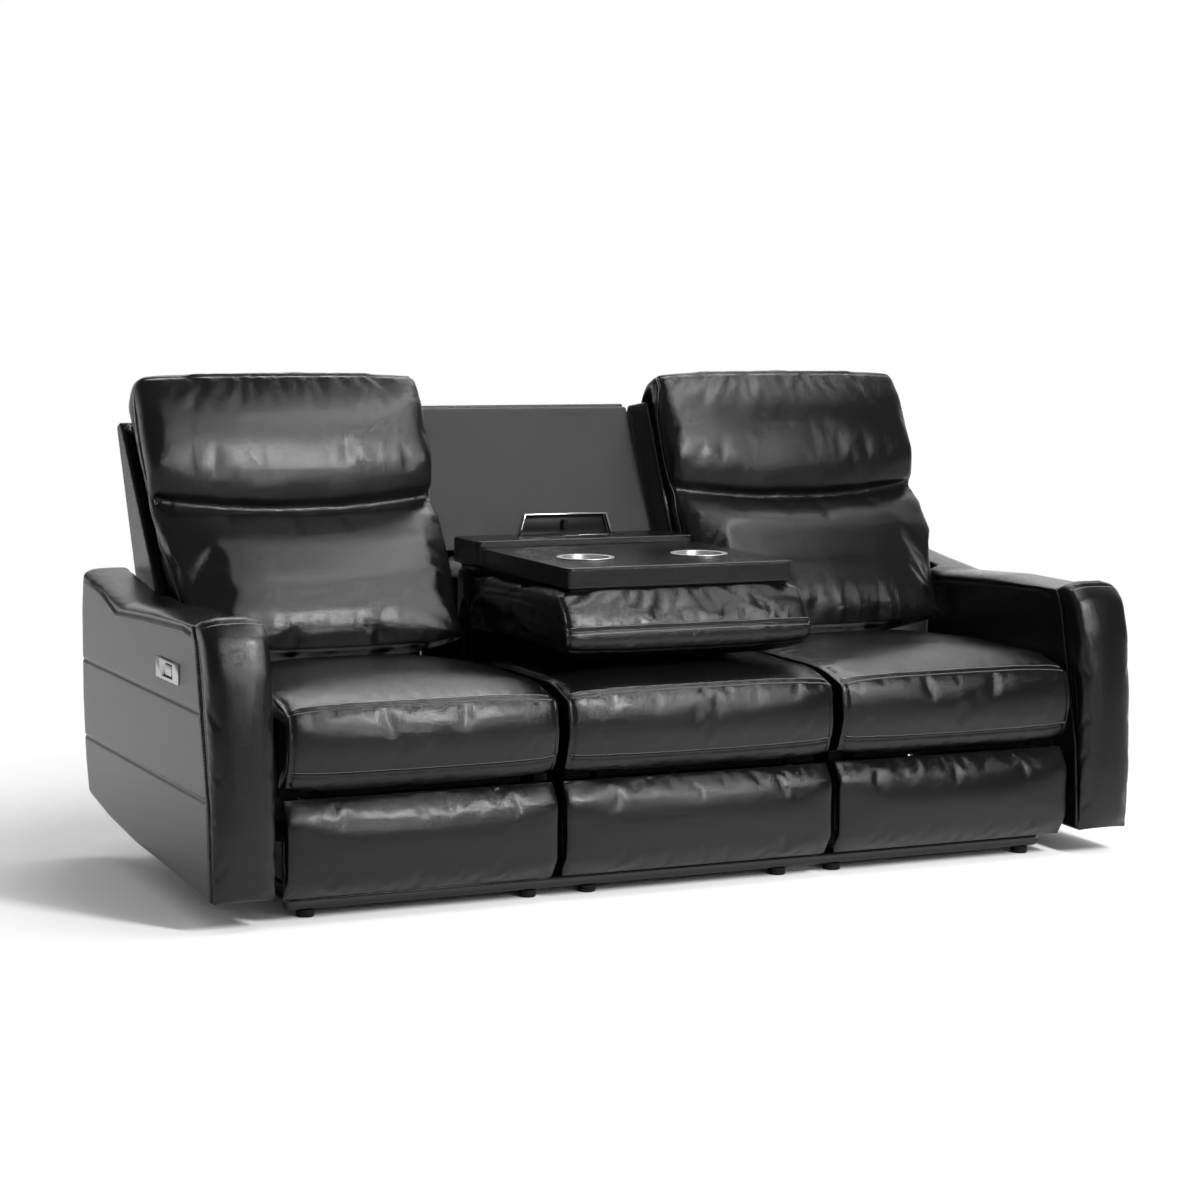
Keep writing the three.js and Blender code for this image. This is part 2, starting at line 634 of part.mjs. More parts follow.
const shellWall = (foot) => [[skirtRear, foot], [skirtRear, skirtTop], onBack(shellTop, 0),
  onBack(shellTop, wallThickness), onBack(innerEdgeRise, wallThickness), [skirtInner, foot]];
const outerWing = (grow) => [[skirtRear, wingHem - grow], [skirtRear, skirtTop], onBack(shellTop, 0),
  onBack(shellTop + grow, wallThickness), onBack(wingHead + grow, wingHeadDepth + grow),
  onBack(wingFoot, wingFootDepth + grow), [wingHemFront - grow, wingHem - grow]];
const innerWing = (grow) => [[skirtRear, wingHem - grow], [skirtRear, skirtTop], onBack(shellTop, 0),
  onBack(innerWingTop + grow, innerWingTopDepth), onBack(innerWingHead + grow, innerWingHeadDepth + grow),
  onBack(wingFoot, wingFootDepth + grow), [wingHemFront - grow, wingHem - grow]];

addPair("back_shell",
  joined(plate(shellWall(skirtFoot), shellInner, skirtHalfEnd),
    plate(shellWall(wingHem), skirtHalfEnd - weld, wingOuter),
    plate(outerWing(0), wingOuter - wingThickness, wingOuter),
    plate(innerWing(0), shellInner, shellInner + innerWingThickness)),
  leather);

const earInner = innerRunnerX + steelPlate / 2 + linkGap;
const earOuter = outerRunnerX - steelPlate / 2 - linkGap;
const earRadius = 30;
const earTop = 434;
const earRear = 770;
const earKnee = 742;
const earUnder = 400;
const earFoot = 372;
const earWaist = 700;

const backEar = (x, way) =>
  joined(
    plate([[reclinePivot.x, reclinePivot.y + earRadius], [reclinePivot.x, reclinePivot.y - earRadius],
      [earWaist, earFoot], [earRear, earUnder], [earRear, earTop + steelPlate * 3], [earKnee, earTop + steelPlate],
      [earKnee - frameInset, earTop]],
    ...stack(x, way, 0, linkThickness)),
    rodAlongX(...stack(x, way, 0, linkThickness), reclinePivot, earRadius, roundSteps),
    rodAlongX(...stack(x, way, weld, -linkGap - steelPlate), reclinePivot, pivotPin, roundSteps));

const frameFoot = earInner - overrun;
addPair("back_frame",
  joined(
    plate([onBack(frameFootRise, frameDepth), onBack(frameTopRise, frameDepth),
      onBack(frameTopRise, frameFace), onBack(frameFootRise, frameFace)], frameFoot, skirtHalfEnd - frameInset),
    backEar(earInner, 1), backEar(earOuter, -1)),
  timber);

// The cushions of the back flare out above the arm, and the crease between them sags in the middle.
const cushionInset = 5;
const cushionInner = shellInner + cushionInset;
const flare = wingOuter - skirtHalfEnd;
const flareFoot = 616;
const flareTop = 700;
const creaseRise = 138;
const creaseSag = 28;
const sagReach = 150;
const creaseGap = 0.6;
const backCentre = (cushionInner + skirtHalfEnd) / 2;
const backHalf = (skirtHalfEnd - cushionInner) / 2;
const backSteps = 5;
const lumbarFoot = -252;
const lumbarBelly = 297;
const headTopRise = 448;
const headBelly = 239;
const lumbarDraw = 33;
const headDraw = 16;
const creaseFullness = 0.7; // at the crease the ends are drawn in by this much less
const creaseFullReach = 70;
const lumbarShares = [
  [[1, 0.561], [0.928, 0.69], [0.774, 0.806], [0.569, 0.913], [0.379, 0.971], [0.21, 1], [0.036, 0.988]],
  [[0.036, 0.988], [0, 0.95], [0.05, 0.75], [0.142, 0.342]],
];
const lumbarHeelShare = 0.137;
const headShares = [
  [[0.881, 0], [0.952, 0.189], [1, 0.46], [0.99, 0.695], [0.93, 0.83], [0.81, 0.891], [0.55, 0.99],
    [0.287, 1], [0.1, 0.9], [0, 0.739]],
];

function backShift(x, y, z) {
  const point = new THREE.Vector2(y, z);
  const rise = point.clone().sub(backHeel).dot(upLean);
  const across = THREE.MathUtils.clamp((x - backCentre) / backHalf, -1, 1);
  const sag = creaseSag * (1 - across ** 2) * Math.max(0, 1 - Math.abs(rise - creaseRise) / sagReach);
  const out = Math.max(0, across) * flare * smooth(z, flareFoot, flareTop);
  point.addScaledVector(upLean, -sag);
  return [x + out, point.x, point.y];
}

function backCushion(rise0, rise1, belly, rearLine, shares, draw) {
  const face = fitted(shares, rise0, rise1, frameFace + seatGap, belly);
  const local = [rearLine, [rearLine[1], face[0][0]], ...face, [face.at(-1).at(-1), rearLine[0]]];
  const placed = local.map((span) => span.map(([rise, depth]) => onBack(rise, depth)));
  const ring = outline(placed, backSteps);
  const rearFace = frameFace + seatGap + weld;
  const depthOf = (y, z) => new THREE.Vector2(y, z).sub(backHeel).dot(offLean);
  const riseOf = (y, z) => new THREE.Vector2(y, z).sub(backHeel).dot(upLean);
  const nearCrease = (y, z) => Math.max(0, 1 - Math.abs(riseOf(y, z) - creaseRise) / creaseFullReach);
  const form = stuffed(ring, cushionInner, skirtHalfEnd, draw, {
    holdShare: (y, z) => (depthOf(y, z) < rearFace ? 0 : 1 - creaseFullness * nearCrease(y, z)),
    shift: backShift,
  });
  return cut(form,
    plate(outerWing(seatGap), wingOuter - wingThickness - seatGap, wingOuter + overrun),
    plate(innerWing(seatGap), shellInner - overrun, shellInner + innerWingThickness + seatGap));
}

const lumbarHeel = lumbarFoot + lumbarHeelShare * (creaseRise - lumbarFoot);
const cushionRear = frameFace + seatGap;
addPair("lumbar_cushion",
  backCushion(lumbarFoot, creaseRise, lumbarBelly,
    [[lumbarHeel, cushionRear], [creaseRise, cushionRear]], lumbarShares, lumbarDraw),
  leather);
const headFoot = creaseRise + creaseGap;
addPair("headrest_cushion",
  backCushion(headFoot, headTopRise, headBelly,
    [[headFoot, cushionRear], [headFoot + headShares[0][0][0] * (headTopRise - headFoot), cushionRear]],
    headShares, headDraw),
  leather);

// Fixed back of the middle unit, and the padded panel that the raised console stands against
const outbackThickness = 18;
const outbackTop = 420;
const outbackFoot = 190;
const outbackKnee = -16.25;
const panelInset = 2;
const panelHalf = outbackHalf - panelInset;
const panelTop = 986;
const panelFoot = 660;
const panelTopFront = 987;
const panelFootFront = 822.3;
const panelDepth = outbackThickness + seatGap;

const panelRearAt = (height) =>
  backHeel.x + (height - backHeel.y - panelDepth * offLean.y) * (upLean.x / upLean.y) + panelDepth * offLean.x;
add("middle_outback",
  plate([[skirtRear, outbackFoot], [skirtRear, skirtTop], onBack(outbackTop, 0),
    onBack(outbackTop, outbackThickness), onBack(outbackKnee, outbackThickness), [outbackInner, outbackFoot]],
  -outbackHalf, outbackHalf),
  leather);
add("console_back_panel",
  plate([[panelFootFront, panelFoot], [panelTopFront, panelTop], [panelRearAt(panelTop), panelTop],
    [panelRearAt(panelFoot), panelFoot]], -panelHalf, panelHalf),
  dullLeather);

// Console: brackets on the deck, and the frame that hangs between them
const bracketInset = 10;
const bracketInner = middleDeckHalf - bracketInset;
const bracketThickness = 6;
const bracketEye = 24;
const bracketFront = 552;
const cheekGap = 0.7;
const cheekThickness = 6;
const cheekInner = bracketInner - cheekThickness;
const cheekRadius = 14;
const consolePin = 6;
const boardUnder = 632.7;
const consoleBoardThickness = 12;
const consoleBoardTop = boardUnder + consoleBoardThickness;
const consoleBoardFront = 100;
const consoleBoardRear = 700;
const consoleBoardInset = 30;
const consoleBoardHalf = bracketInner - consoleBoardInset;
const bracketShares = [[0, 0], [1, 0], [1, 0.6], [0.85, 1], [0.3, 1]];
const bracketRear = middleDeckRear;

function consoleBracket() {
  const [x0, x1] = [bracketInner, bracketInner + bracketThickness];
  const [points] = fitted([bracketShares], bracketFront, bracketRear, deckTop + seatGap, consolePivot.y);
  return cut(joined(plate(points, x0, x1), rodAlongX(x0, x1, consolePivot, bracketEye, roundSteps),
    box(bracketInner - overrun, x1, bracketFront, bracketRear, deckTop + seatGap,
      deckTop + seatGap + steelPlate)),
  rodAlongX(x0 - overrun, x1 + overrun, consolePivot, consolePin + pinGap, roundSteps));
}

addPair("console_bracket", consoleBracket(), blackSteel);

const consolePieces = (side) => {
  const [inner, outer] = [cheekInner, bracketInner - cheekGap].map((x) => side * x).sort((a, b) => a - b);
  const pinEnd = side * (bracketInner + bracketThickness + linkGap / 2);
  return [
    plate([[consolePivot.x - cheekRadius, consolePivot.y], [consolePivot.x + cheekRadius, consolePivot.y],
      [consolePivot.x + cheekRadius * 2, consoleBoardTop], [consolePivot.x - cheekRadius * 2, consoleBoardTop]],
    inner, outer),
    rodAlongX(inner, outer, consolePivot, cheekRadius, roundSteps),
    rodAlongX(Math.min(side * cheekInner, pinEnd), Math.max(side * cheekInner, pinEnd), consolePivot,
      consolePin, roundSteps),
  ];
};
const cupY = 284;
const cupBore = 52;
const cupWall = 2;
const cupFlange = 64;
const cupFlangeThickness = 2;
const cupFoot = 615;
const cupClear = 1;
const trayTop = 692;
const trayInset = 28;
const cupInset = 132;
const trayHalf = middleDeckHalf - trayInset;
const cupX = trayHalf - cupInset;
const trayFront = 88;
const trayRear = 562;
const trayEase = 5;
const trayCorner = 6;
const cupOuter = cupBore + cupWall;
const cupHole = (side) =>
  postAlongZ(side * cupX, cupY, cupFoot - cupClear, trayTop + overrun, cupOuter + cupClear, roundSteps * 2);
const cupHoles = [-1, 1].map(cupHole);
const cheekEdge = bracketInner - cheekGap;

const consoleBoardPlan = (grow) =>
  joined(box(-consoleBoardHalf - grow, consoleBoardHalf + grow, consoleBoardFront - grow,
    consoleBoardRear + grow, boardUnder - grow, consoleBoardTop),
  box(-cheekEdge - grow, cheekEdge + grow, consolePivot.x - cheekRadius * 2 - grow,
    consolePivot.x + cheekRadius * 2 + grow, boardUnder - grow, consoleBoardTop));
add("console_frame",
  cut(joined(consoleBoardPlan(0), ...consolePieces(-1), ...consolePieces(1)), ...cupHoles),
  blackSteel);

// The console's cushion: a wide front roll, a rear roll behind a side crease, and a narrow tail
const consoleNose = 28;
const consoleTail = 722;
const consoleUnder = 482;
const rollHalf = middleDeckHalf;
const tailInset = 10;
const tailHalf = bracketInner - tailInset;
const rollRear = 528;
const rollCrease = 330;
const creaseWidth = 6;
const creaseDepth = 8;
const ringStep = 20;
const consoleDraw = 14;
const consoleShares = [
  [[0.05, 0.1], [0.017, 0.215], [0, 0.36], [0.01, 0.517], [0.039, 0.79], [0.087, 1]],
  [[0.087, 1], [0.98, 1]],
  [[0.98, 1], [1, 0.85], [1, 0.3], [0.985, 0]],
  [[0.985, 0], [0.8, 0.05], [0.5, 0.09], [0.2, 0.09], [0.05, 0.1]],
];
const consoleSteps = 5;
const trayWay = box(-trayHalf - seatGap, trayHalf + seatGap, consoleBoardFront, consoleTail + overrun,
  consoleBoardTop, trayTop);
const consoleSpans = fitted(consoleShares, consoleNose, consoleTail, consoleUnder, consoleBoardTop);
const consoleRing = outline(consoleSpans, consoleSteps).reverse();

const sideCuts = [-1, 1].flatMap((side) => {
  const from = (x0, x1, y0, y1) =>
    box(Math.min(side * x0, side * x1), Math.max(side * x0, side * x1), y0, y1, 0, trayTop);
  return [from(tailHalf, rollHalf + overrun, rollRear, consoleTail + overrun),
    from(rollHalf - creaseDepth, rollHalf + overrun, rollCrease, rollCrease + creaseWidth)];
});

function refined(ring, longest) {
  return ring.flatMap((point, i) => {
    const next = ring[(i + 1) % ring.length];
    const parts = Math.max(1, Math.round(point.distanceTo(next) / longest));
    return Array.from({ length: parts }, (_, k) => point.clone().lerp(next, k / parts));
  });
}

add("console_cushion",
  cut(stuffed(refined(consoleRing, ringStep), -rollHalf, rollHalf, consoleDraw),
    consoleBoardPlan(seatGap), trayWay, ...cupHoles, ...sideCuts,
    ...[-1, 1].map((side) => cupHole(side).translate([0, 0, -seatGap]))),
  leather);

const trayFloor = consoleBoardTop + seatGap;
add("console_tray",
  cut(easedSlab(-trayHalf, trayHalf, trayFront, trayRear, trayFloor, trayTop, trayCorner, trayEase),
    ...cupHoles),
  leather);

const cupProfile = [[0, cupFoot], [cupOuter, cupFoot], [cupOuter, trayTop + seatGap],
  [cupFlange, trayTop + seatGap], [cupFlange, trayTop + seatGap + cupFlangeThickness],
  [cupBore, trayTop + seatGap + cupFlangeThickness], [cupBore, cupFoot + cupWall], [0, cupFoot + cupWall]];
const cupHolder = solid(
  new THREE.LatheGeometry(cupProfile.map(([r, z]) => new THREE.Vector2(r, z)), roundSteps * 2)
    .rotateX(Math.PI / 2).translate(cupX, cupY, 0));
addPair("cup_holder", cupHolder, brushedSteel);

// The rear block of the console, with a pocket for its flap
const blockFront = 574;
const blockRear = 728;
const blockTop = 705;
const pocketInset = 144;
const pocketHalf = trayHalf - pocketInset;
const pocketFront = 632;
const pocketRear = 714;
const pocketFloor = 683;
const hatchAxis = new THREE.Vector2(700, 699);
const hatchRod = 3;
const hatchGap = 7;
const hatchTaper = 16;
const hatchHalf = pocketHalf - hatchGap;
const hatchTopHalf = hatchHalf - hatchTaper;
const hatchTop = 754;
const hatchDepth = 18;
const hatchBand = 3;
const lidThickness = 3;
const lampRadius = 7;
const lampFoot = 714;
const lampTop = 738;

const hatchRodThrough = (grow, reach) =>
  rodAlongX(-hatchHalf - reach, hatchHalf + reach, hatchAxis, hatchRod + grow, pinSteps);
add("console_block",
  cut(easedSlab(-trayHalf, trayHalf, blockFront, blockRear, trayFloor, blockTop, trayCorner, trayEase),
    box(-pocketHalf, pocketHalf, pocketFront, pocketRear, pocketFloor, blockTop + overrun),
    hatchRodThrough(seatGap, overrun)),
  leather);

// The flap: a chrome band bent to a trapezoid, a black lid behind it and a small lamp on the lid
function trapezoid(inset, y0, y1) {
  const [foot, head] = [hatchAxis.y + inset, hatchTop - inset];
  const corner = [[-hatchHalf + inset, foot], [hatchHalf - inset, foot], [hatchTopHalf - inset, head],
    [-hatchTopHalf + inset, head]];
  const shape = new THREE.Shape(corner.map(([x, z]) => new THREE.Vector2(x, z)));
  const geometry = new THREE.ExtrudeGeometry(shape, { depth: y1 - y0, bevelEnabled: false });
  return solid(geometry.rotateX(Math.PI / 2).translate(0, y1, 0));
}

const [bandFront, bandRear] = [hatchAxis.x - hatchDepth / 2, hatchAxis.x + hatchDepth / 2];
add("hatch_frame",
  joined(cut(trapezoid(0, bandFront, bandRear), trapezoid(hatchBand, bandFront - overrun, bandRear + overrun)),
    hatchRodThrough(0, pocketHalf - hatchHalf + hatchRod * 2)),
  chrome);
const lidFront = bandRear - lidThickness;
add("hatch_lid",
  trapezoid(hatchBand + seatGap, lidFront, bandRear),
  blackPlastic);
add("hatch_lamp",
  postAlongZ(0, lidFront - seatGap - lampRadius, lampFoot, lampTop, lampRadius, roundSteps),
  blackPlastic);

// Everything is centred on its own footprint.
const bounds = new THREE.Box3().setFromObject(sofa);
const centre = bounds.getCenter(new THREE.Vector3());
for (const mesh of sofa.children) mesh.geometry.translate(-centre.x, -centre.y, -bounds.min.z);

export default sofa;
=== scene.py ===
# %% [markdown]
# # A reclining sofa with a console that folds down
# The rigid parts of the sofa, such as its rail, links and hinge plates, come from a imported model. In this
# lesson they get their finishes, and every padded part gets its leather: the arms, seats, backs, front
# pads and the console. All sizes are in metres. +X is to the right of somebody who faces the sofa, +Y is
# to the back and +Z is up.

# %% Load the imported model
import json
from math import cos, pi, radians, sin

import bpy
import numpy as np
from mathutils import Matrix, Vector
from mathutils.bvhtree import BVHTree

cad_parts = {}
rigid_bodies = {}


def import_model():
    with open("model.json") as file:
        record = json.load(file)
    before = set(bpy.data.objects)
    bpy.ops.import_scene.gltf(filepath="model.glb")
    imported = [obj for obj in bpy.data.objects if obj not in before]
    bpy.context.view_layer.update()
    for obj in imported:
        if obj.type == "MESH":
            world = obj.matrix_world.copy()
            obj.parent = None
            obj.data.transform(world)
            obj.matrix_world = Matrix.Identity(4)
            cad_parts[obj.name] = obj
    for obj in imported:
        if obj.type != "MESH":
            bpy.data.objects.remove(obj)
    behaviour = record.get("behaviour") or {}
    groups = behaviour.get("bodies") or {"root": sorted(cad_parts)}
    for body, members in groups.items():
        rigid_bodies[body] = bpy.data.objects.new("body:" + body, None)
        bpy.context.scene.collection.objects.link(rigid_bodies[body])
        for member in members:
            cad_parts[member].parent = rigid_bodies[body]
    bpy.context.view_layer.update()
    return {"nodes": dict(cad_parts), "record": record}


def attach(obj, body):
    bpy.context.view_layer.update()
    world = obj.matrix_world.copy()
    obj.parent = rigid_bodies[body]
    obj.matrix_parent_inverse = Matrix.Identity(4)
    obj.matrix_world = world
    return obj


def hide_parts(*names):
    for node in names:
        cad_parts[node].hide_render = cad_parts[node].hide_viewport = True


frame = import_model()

nodes = frame["nodes"]

# %% [markdown]
# The sofa was drawn with y = 0 on the front of its arms, in millimetres. `at` turns such a point into a
# place in this scene, so that seams can be written as they would be measured with a tape.

# %% From tape measure to scene
rail_front = 45
arm_front_to_middle = rail_front - 1000 * min(corner[1] for corner in nodes["front_rail"].bound_box)


def at(x, y, z):
    return Vector((x, y - arm_front_to_middle, z)) / 1000


def along(first, last, count):
    return [first + (last - first) * i / (count - 1) for i in range(count)]


print("front of the arms is at y =", round(at(0, 0, 0).y, 4))

# %% [markdown]
# The camera stands to the left of the sofa and looks slightly down, with a long lens, as a photographer
# would stand back in a studio. Its turn is built from three directions: where it looks, what is to its
# right, and what is up. That is easier to check than three angles in a row.

# %% Camera
camera_turn = radians(25.448)
camera_tilt = radians(6.482)
camera_roll = radians(0.677)
look = Vector((sin(camera_turn) * cos(camera_tilt), cos(camera_turn) * cos(camera_tilt), -sin(camera_tilt)))
level = Vector((cos(camera_turn), -sin(camera_turn), 0))
upright = level.cross(look)
right = level * cos(camera_roll) + upright * sin(camera_roll)
top = upright * cos(camera_roll) - level * sin(camera_roll)

bpy.ops.object.select_all(action="DESELECT")
bpy.ops.object.camera_add(location=at(-2796, -5374, 1309),
                          rotation=Matrix((right, top, -look)).transposed().to_euler())
camera = bpy.context.object
camera.name = "studio_camera"
camera.data.sensor_width = 36
camera.data.lens = 85.86
bpy.context.scene.camera = camera
print("camera at", [round(v, 2) for v in camera.location], "lens", camera.data.lens)

# %% [markdown]
# Black leather is shown by what it reflects. A tall soft box high on the right of the camera draws the glow
# on the head parts, on the belly of each back and along the upper edge of the seat fronts and pads. A wide
# one overhead lights the brows, a narrow one in front draws a faint stripe on each arm, and one behind
# draws the band along the rolled front edge of each seat. The room is white for the camera. A white backdrop
# hangs behind the sofa and to its right, and reflections show it there, on the thin rims of the leather and
# in the chrome. The rest of the room is grey.

# %% Lights, world and floor


def soft_box(name, place, aim, width, height, power):
    bpy.ops.object.select_all(action="DESELECT")
    turn = (Vector(aim) - Vector(place)).to_track_quat("-Z", "Y").to_euler()
    bpy.ops.object.light_add(type="AREA", location=place, rotation=turn)
    lamp = bpy.context.object
    lamp.name = name
    lamp.data.shape = "RECTANGLE"
    lamp.data.size = width
    lamp.data.size_y = height
    lamp.data.energy = power
    return lamp


soft_box("key_box", (1.0, -3.6, 3.2), (-0.3, 0, 0.7), 0.6, 1.6, 215)
soft_box("top_box", (0.9, -0.6, 3.3), (0, 0.1, 0.7), 2.2, 0.5, 50)
soft_box("front_box", (0.9, -4.9, 1.6), (-0.8, -0.5, 0.4), 0.4, 1.0, 30)
soft_box("back_box", (0.9, 2.0, 3.3), (0, -0.4, 0.5), 3.0, 0.5, 50)

world = bpy.data.worlds.new("studio")
bpy.context.scene.world = world
world.use_nodes = True
sky = world.node_tree
room = sky.nodes["Background"]


def maths(tree, operation, *values):
    node = tree.nodes.new("ShaderNodeMath")
    node.operation = operation
    for socket, value in zip(node.inputs, values):
        if isinstance(value, bpy.types.NodeSocket):
            tree.links.new(value, socket)
        else:
            socket.default_value = value
    return node.outputs[0]


def ramp(tree, mask, low, high, first=0.0, last=1.0, kind="LINEAR"):
    node = tree.nodes.new("ShaderNodeMapRange")
    node.interpolation_type = kind
    tree.links.new(mask, node.inputs["Value"])
    for label, value in (("From Min", first), ("From Max", last), ("To Min", low), ("To Max", high)):
        node.inputs[label].default_value = value
    return node.outputs["Result"]


backdrop_way = (0.5, 0.8, 0.33)
backdrop_edge, backdrop_full = 0.7, 0.86
room_seen, room_light = 0.2, 0.5
seen = sky.nodes.new("ShaderNodeLightPath")
toward = sky.nodes.new("ShaderNodeVectorMath")
toward.operation = "DOT_PRODUCT"
toward.inputs[1].default_value = backdrop_way
sky.links.new(sky.nodes.new("ShaderNodeTexCoord").outputs["Generated"], toward.inputs[0])
backdrop = ramp(sky, toward.outputs["Value"], room_seen - room_light, 1 - room_light, backdrop_edge,
                backdrop_full, "SMOOTHSTEP")
mirrored = maths(sky, "MAXIMUM", seen.outputs["Is Glossy Ray"],
                 seen.outputs["Is Transmission Ray"])
direct = maths(sky, "MULTIPLY", seen.outputs["Is Camera Ray"], 1 - room_light)
level = maths(sky, "ADD", direct, maths(sky, "MULTIPLY", mirrored, backdrop))
room.inputs["Color"].default_value = (1, 1, 1, 1)
sky.links.new(maths(sky, "ADD", level, room_light), room.inputs["Strength"])

bpy.ops.object.select_all(action="DESELECT")
bpy.ops.mesh.primitive_plane_add(size=24, location=(0, 4, 0))
floor = bpy.context.object
floor.name = "studio_floor"
bpy.ops.object.transform_apply(location=True, rotation=False, scale=False)
bpy.context.scene.view_settings.view_transform = "Standard"

# %% [markdown]
# ## Finishes
# Patterns that several finishes share are node groups: they are built once, with named inputs and outputs,
# and put into each material with other values. The first one is the grain of leather: small rounded cells
# with finer creases between them, and a slow change of tone and gloss over the hide.

# %% A helper for node groups


def new_group(name, inputs, outputs):
    group = bpy.data.node_groups.new(name, "ShaderNodeTree")
    for label, kind, value in inputs:
        socket = group.interface.new_socket(name=label, in_out="INPUT", socket_type=kind)
        if value is not None:
            socket.default_value = value
    for label, kind in outputs:
        group.interface.new_socket(name=label, in_out="OUTPUT", socket_type=kind)
    return group, group.nodes.new("NodeGroupInput"), group.nodes.new("NodeGroupOutput")


def noise(tree, place, scale, detail=2.0):
    node = tree.nodes.new("ShaderNodeTexNoise")
    tree.links.new(place, node.inputs["Vector"])
    node.inputs["Detail"].default_value = detail
    if isinstance(scale, bpy.types.NodeSocket):
        tree.links.new(scale, node.inputs["Scale"])
    else:
        node.inputs["Scale"].default_value = scale
    return node.outputs["Fac"]


print("helpers ready")

# %% Leather grain group
grain, grain_in, grain_out = new_group(
    "leather_grain",
    [("Place", "NodeSocketVector", None), ("Cell scale", "NodeSocketFloat", 650.0),
     ("Crease", "NodeSocketFloat", 0.5)],
    [("Height", "NodeSocketFloat"), ("Tone", "NodeSocketFloat"), ("Gloss change", "NodeSocketFloat")])
cells = grain.nodes.new("ShaderNodeTexVoronoi")
cells.feature = "DISTANCE_TO_EDGE"
warp = grain.nodes.new("ShaderNodeTexNoise")
warp.inputs["Scale"].default_value = 260.0
bend = grain.nodes.new("ShaderNodeVectorMath")
bend.operation = "SCALE"
bend.inputs["Scale"].default_value = 0.0012
moved = grain.nodes.new("ShaderNodeVectorMath")
moved.operation = "ADD"
grain.links.new(grain_in.outputs["Place"], warp.inputs["Vector"])
grain.links.new(warp.outputs["Color"], bend.inputs[0])
grain.links.new(grain_in.outputs["Place"], moved.inputs[0])
grain.links.new(bend.outputs[0], moved.inputs[1])
grain.links.new(moved.outputs[0], cells.inputs["Vector"])
grain.links.new(grain_in.outputs["Cell scale"], cells.inputs["Scale"])
edge = maths(grain, "MINIMUM", cells.outputs["Distance"], 0.22)
pore = maths(grain, "MULTIPLY", edge, 4.0)
crease = maths(grain, "MULTIPLY", noise(grain, grain_in.outputs["Place"], 120.0, 4.0),
               grain_in.outputs["Crease"])
grain.links.new(maths(grain, "ADD", pore, crease), grain_out.inputs["Height"])
grain.links.new(noise(grain, grain_in.outputs["Place"], 7.0, 3.0), grain_out.inputs["Tone"])
grain.links.new(noise(grain, grain_in.outputs["Place"], 22.0, 3.0), grain_out.inputs["Gloss change"])
print("group:", grain.name, len(grain.nodes), "nodes")

# %% [markdown]
# Metal and moulded plastic need something else: the fine lines that a brush or a drawing die leaves, and
# the faint mottling of paint or zinc. The second group makes both, and stretches the lines along one axis.

# %% Drawn metal group
drawn, drawn_in, drawn_out = new_group(
    "drawn_lines",
    [("Place", "NodeSocketVector", None), ("Stretch", "NodeSocketVector", (8.0, 900.0, 900.0)),
     ("Mottle scale", "NodeSocketFloat", 60.0)],
    [("Lines", "NodeSocketFloat"), ("Mottle", "NodeSocketFloat")])
pull = drawn.nodes.new("ShaderNodeVectorMath")
pull.operation = "MULTIPLY"
drawn.links.new(drawn_in.outputs["Place"], pull.inputs[0])
drawn.links.new(drawn_in.outputs["Stretch"], pull.inputs[1])
drawn.links.new(noise(drawn, pull.outputs[0], 1.0, 2.0), drawn_out.inputs["Lines"])
drawn.links.new(noise(drawn, drawn_in.outputs["Place"], drawn_in.outputs["Mottle scale"], 4.0),
                drawn_out.inputs["Mottle"])
print("group:", drawn.name, len(drawn.nodes), "nodes")

# %% [markdown]
# A material places one group, mixes its mask into two close colours and two close gloss values, and sends
# its height through a Bump node. What is the same all over, such as metalness, is set on the shader.

# %% Materials


def tint(tree, mask, dark, light):
    node = tree.nodes.new("ShaderNodeMix")
    node.data_type = "RGBA"
    tree.links.new(mask, node.inputs["Factor"])
    node.inputs["A"].default_value = (*dark, 1)
    node.inputs["B"].default_value = (*light, 1)
    return node.outputs["Result"]


def finish(name, group, masks, dark, light, gloss, height, bump, values=None, **shader_values):
    material = bpy.data.materials.new(name)
    material.use_nodes = True
    tree = material.node_tree
    shader = tree.nodes["Principled BSDF"]
    place = tree.nodes.new("ShaderNodeTexCoord").outputs["Object"]
    pattern = tree.nodes.new("ShaderNodeGroup")
    pattern.node_tree = group
    tree.links.new(place, pattern.inputs["Place"])
    for label, value in (values or {}).items():
        pattern.inputs[label].default_value = value
    tree.links.new(tint(tree, pattern.outputs[masks[0]], dark, light), shader.inputs["Base Color"])
    tree.links.new(ramp(tree, pattern.outputs[masks[1]], *gloss), shader.inputs["Roughness"])
    node = tree.nodes.new("ShaderNodeBump")
    node.inputs["Distance"].default_value = bump
    node.inputs["Strength"].default_value = 1.0
    tree.links.new(pattern.outputs[height], node.inputs["Height"])
    tree.links.new(node.outputs["Normal"], shader.inputs["Normal"])
    for label, value in shader_values.items():
        shader.inputs[label.replace("_", " ")].default_value = value
    return material


leather = finish("black_leather", grain, ("Tone", "Gloss change"), (0.003, 0.003, 0.0033),
                 (0.005, 0.005, 0.0054), (0.12, 0.18), "Height", 0.0001, Specular_IOR_Level=0.32)
panel_leather = finish("matt_leather", grain, ("Tone", "Gloss change"), (0.012, 0.012, 0.0125),
                       (0.02, 0.02, 0.0205), (0.42, 0.52), "Height", 0.0002, Specular_IOR_Level=0.28)
thread = finish("grey_thread", drawn, ("Lines", "Mottle"), (0.13, 0.13, 0.13), (0.24, 0.24, 0.24),
                (0.5, 0.7), "Lines", 0.0001, {"Stretch": (900.0, 900.0, 900.0)})
enamel = finish("black_enamel", drawn, ("Mottle", "Mottle"), (0.004, 0.004, 0.004), (0.007, 0.007, 0.007),
                (0.14, 0.22), "Mottle", 0.00008, {"Mottle scale": 300.0}, Specular_IOR_Level=0.5)
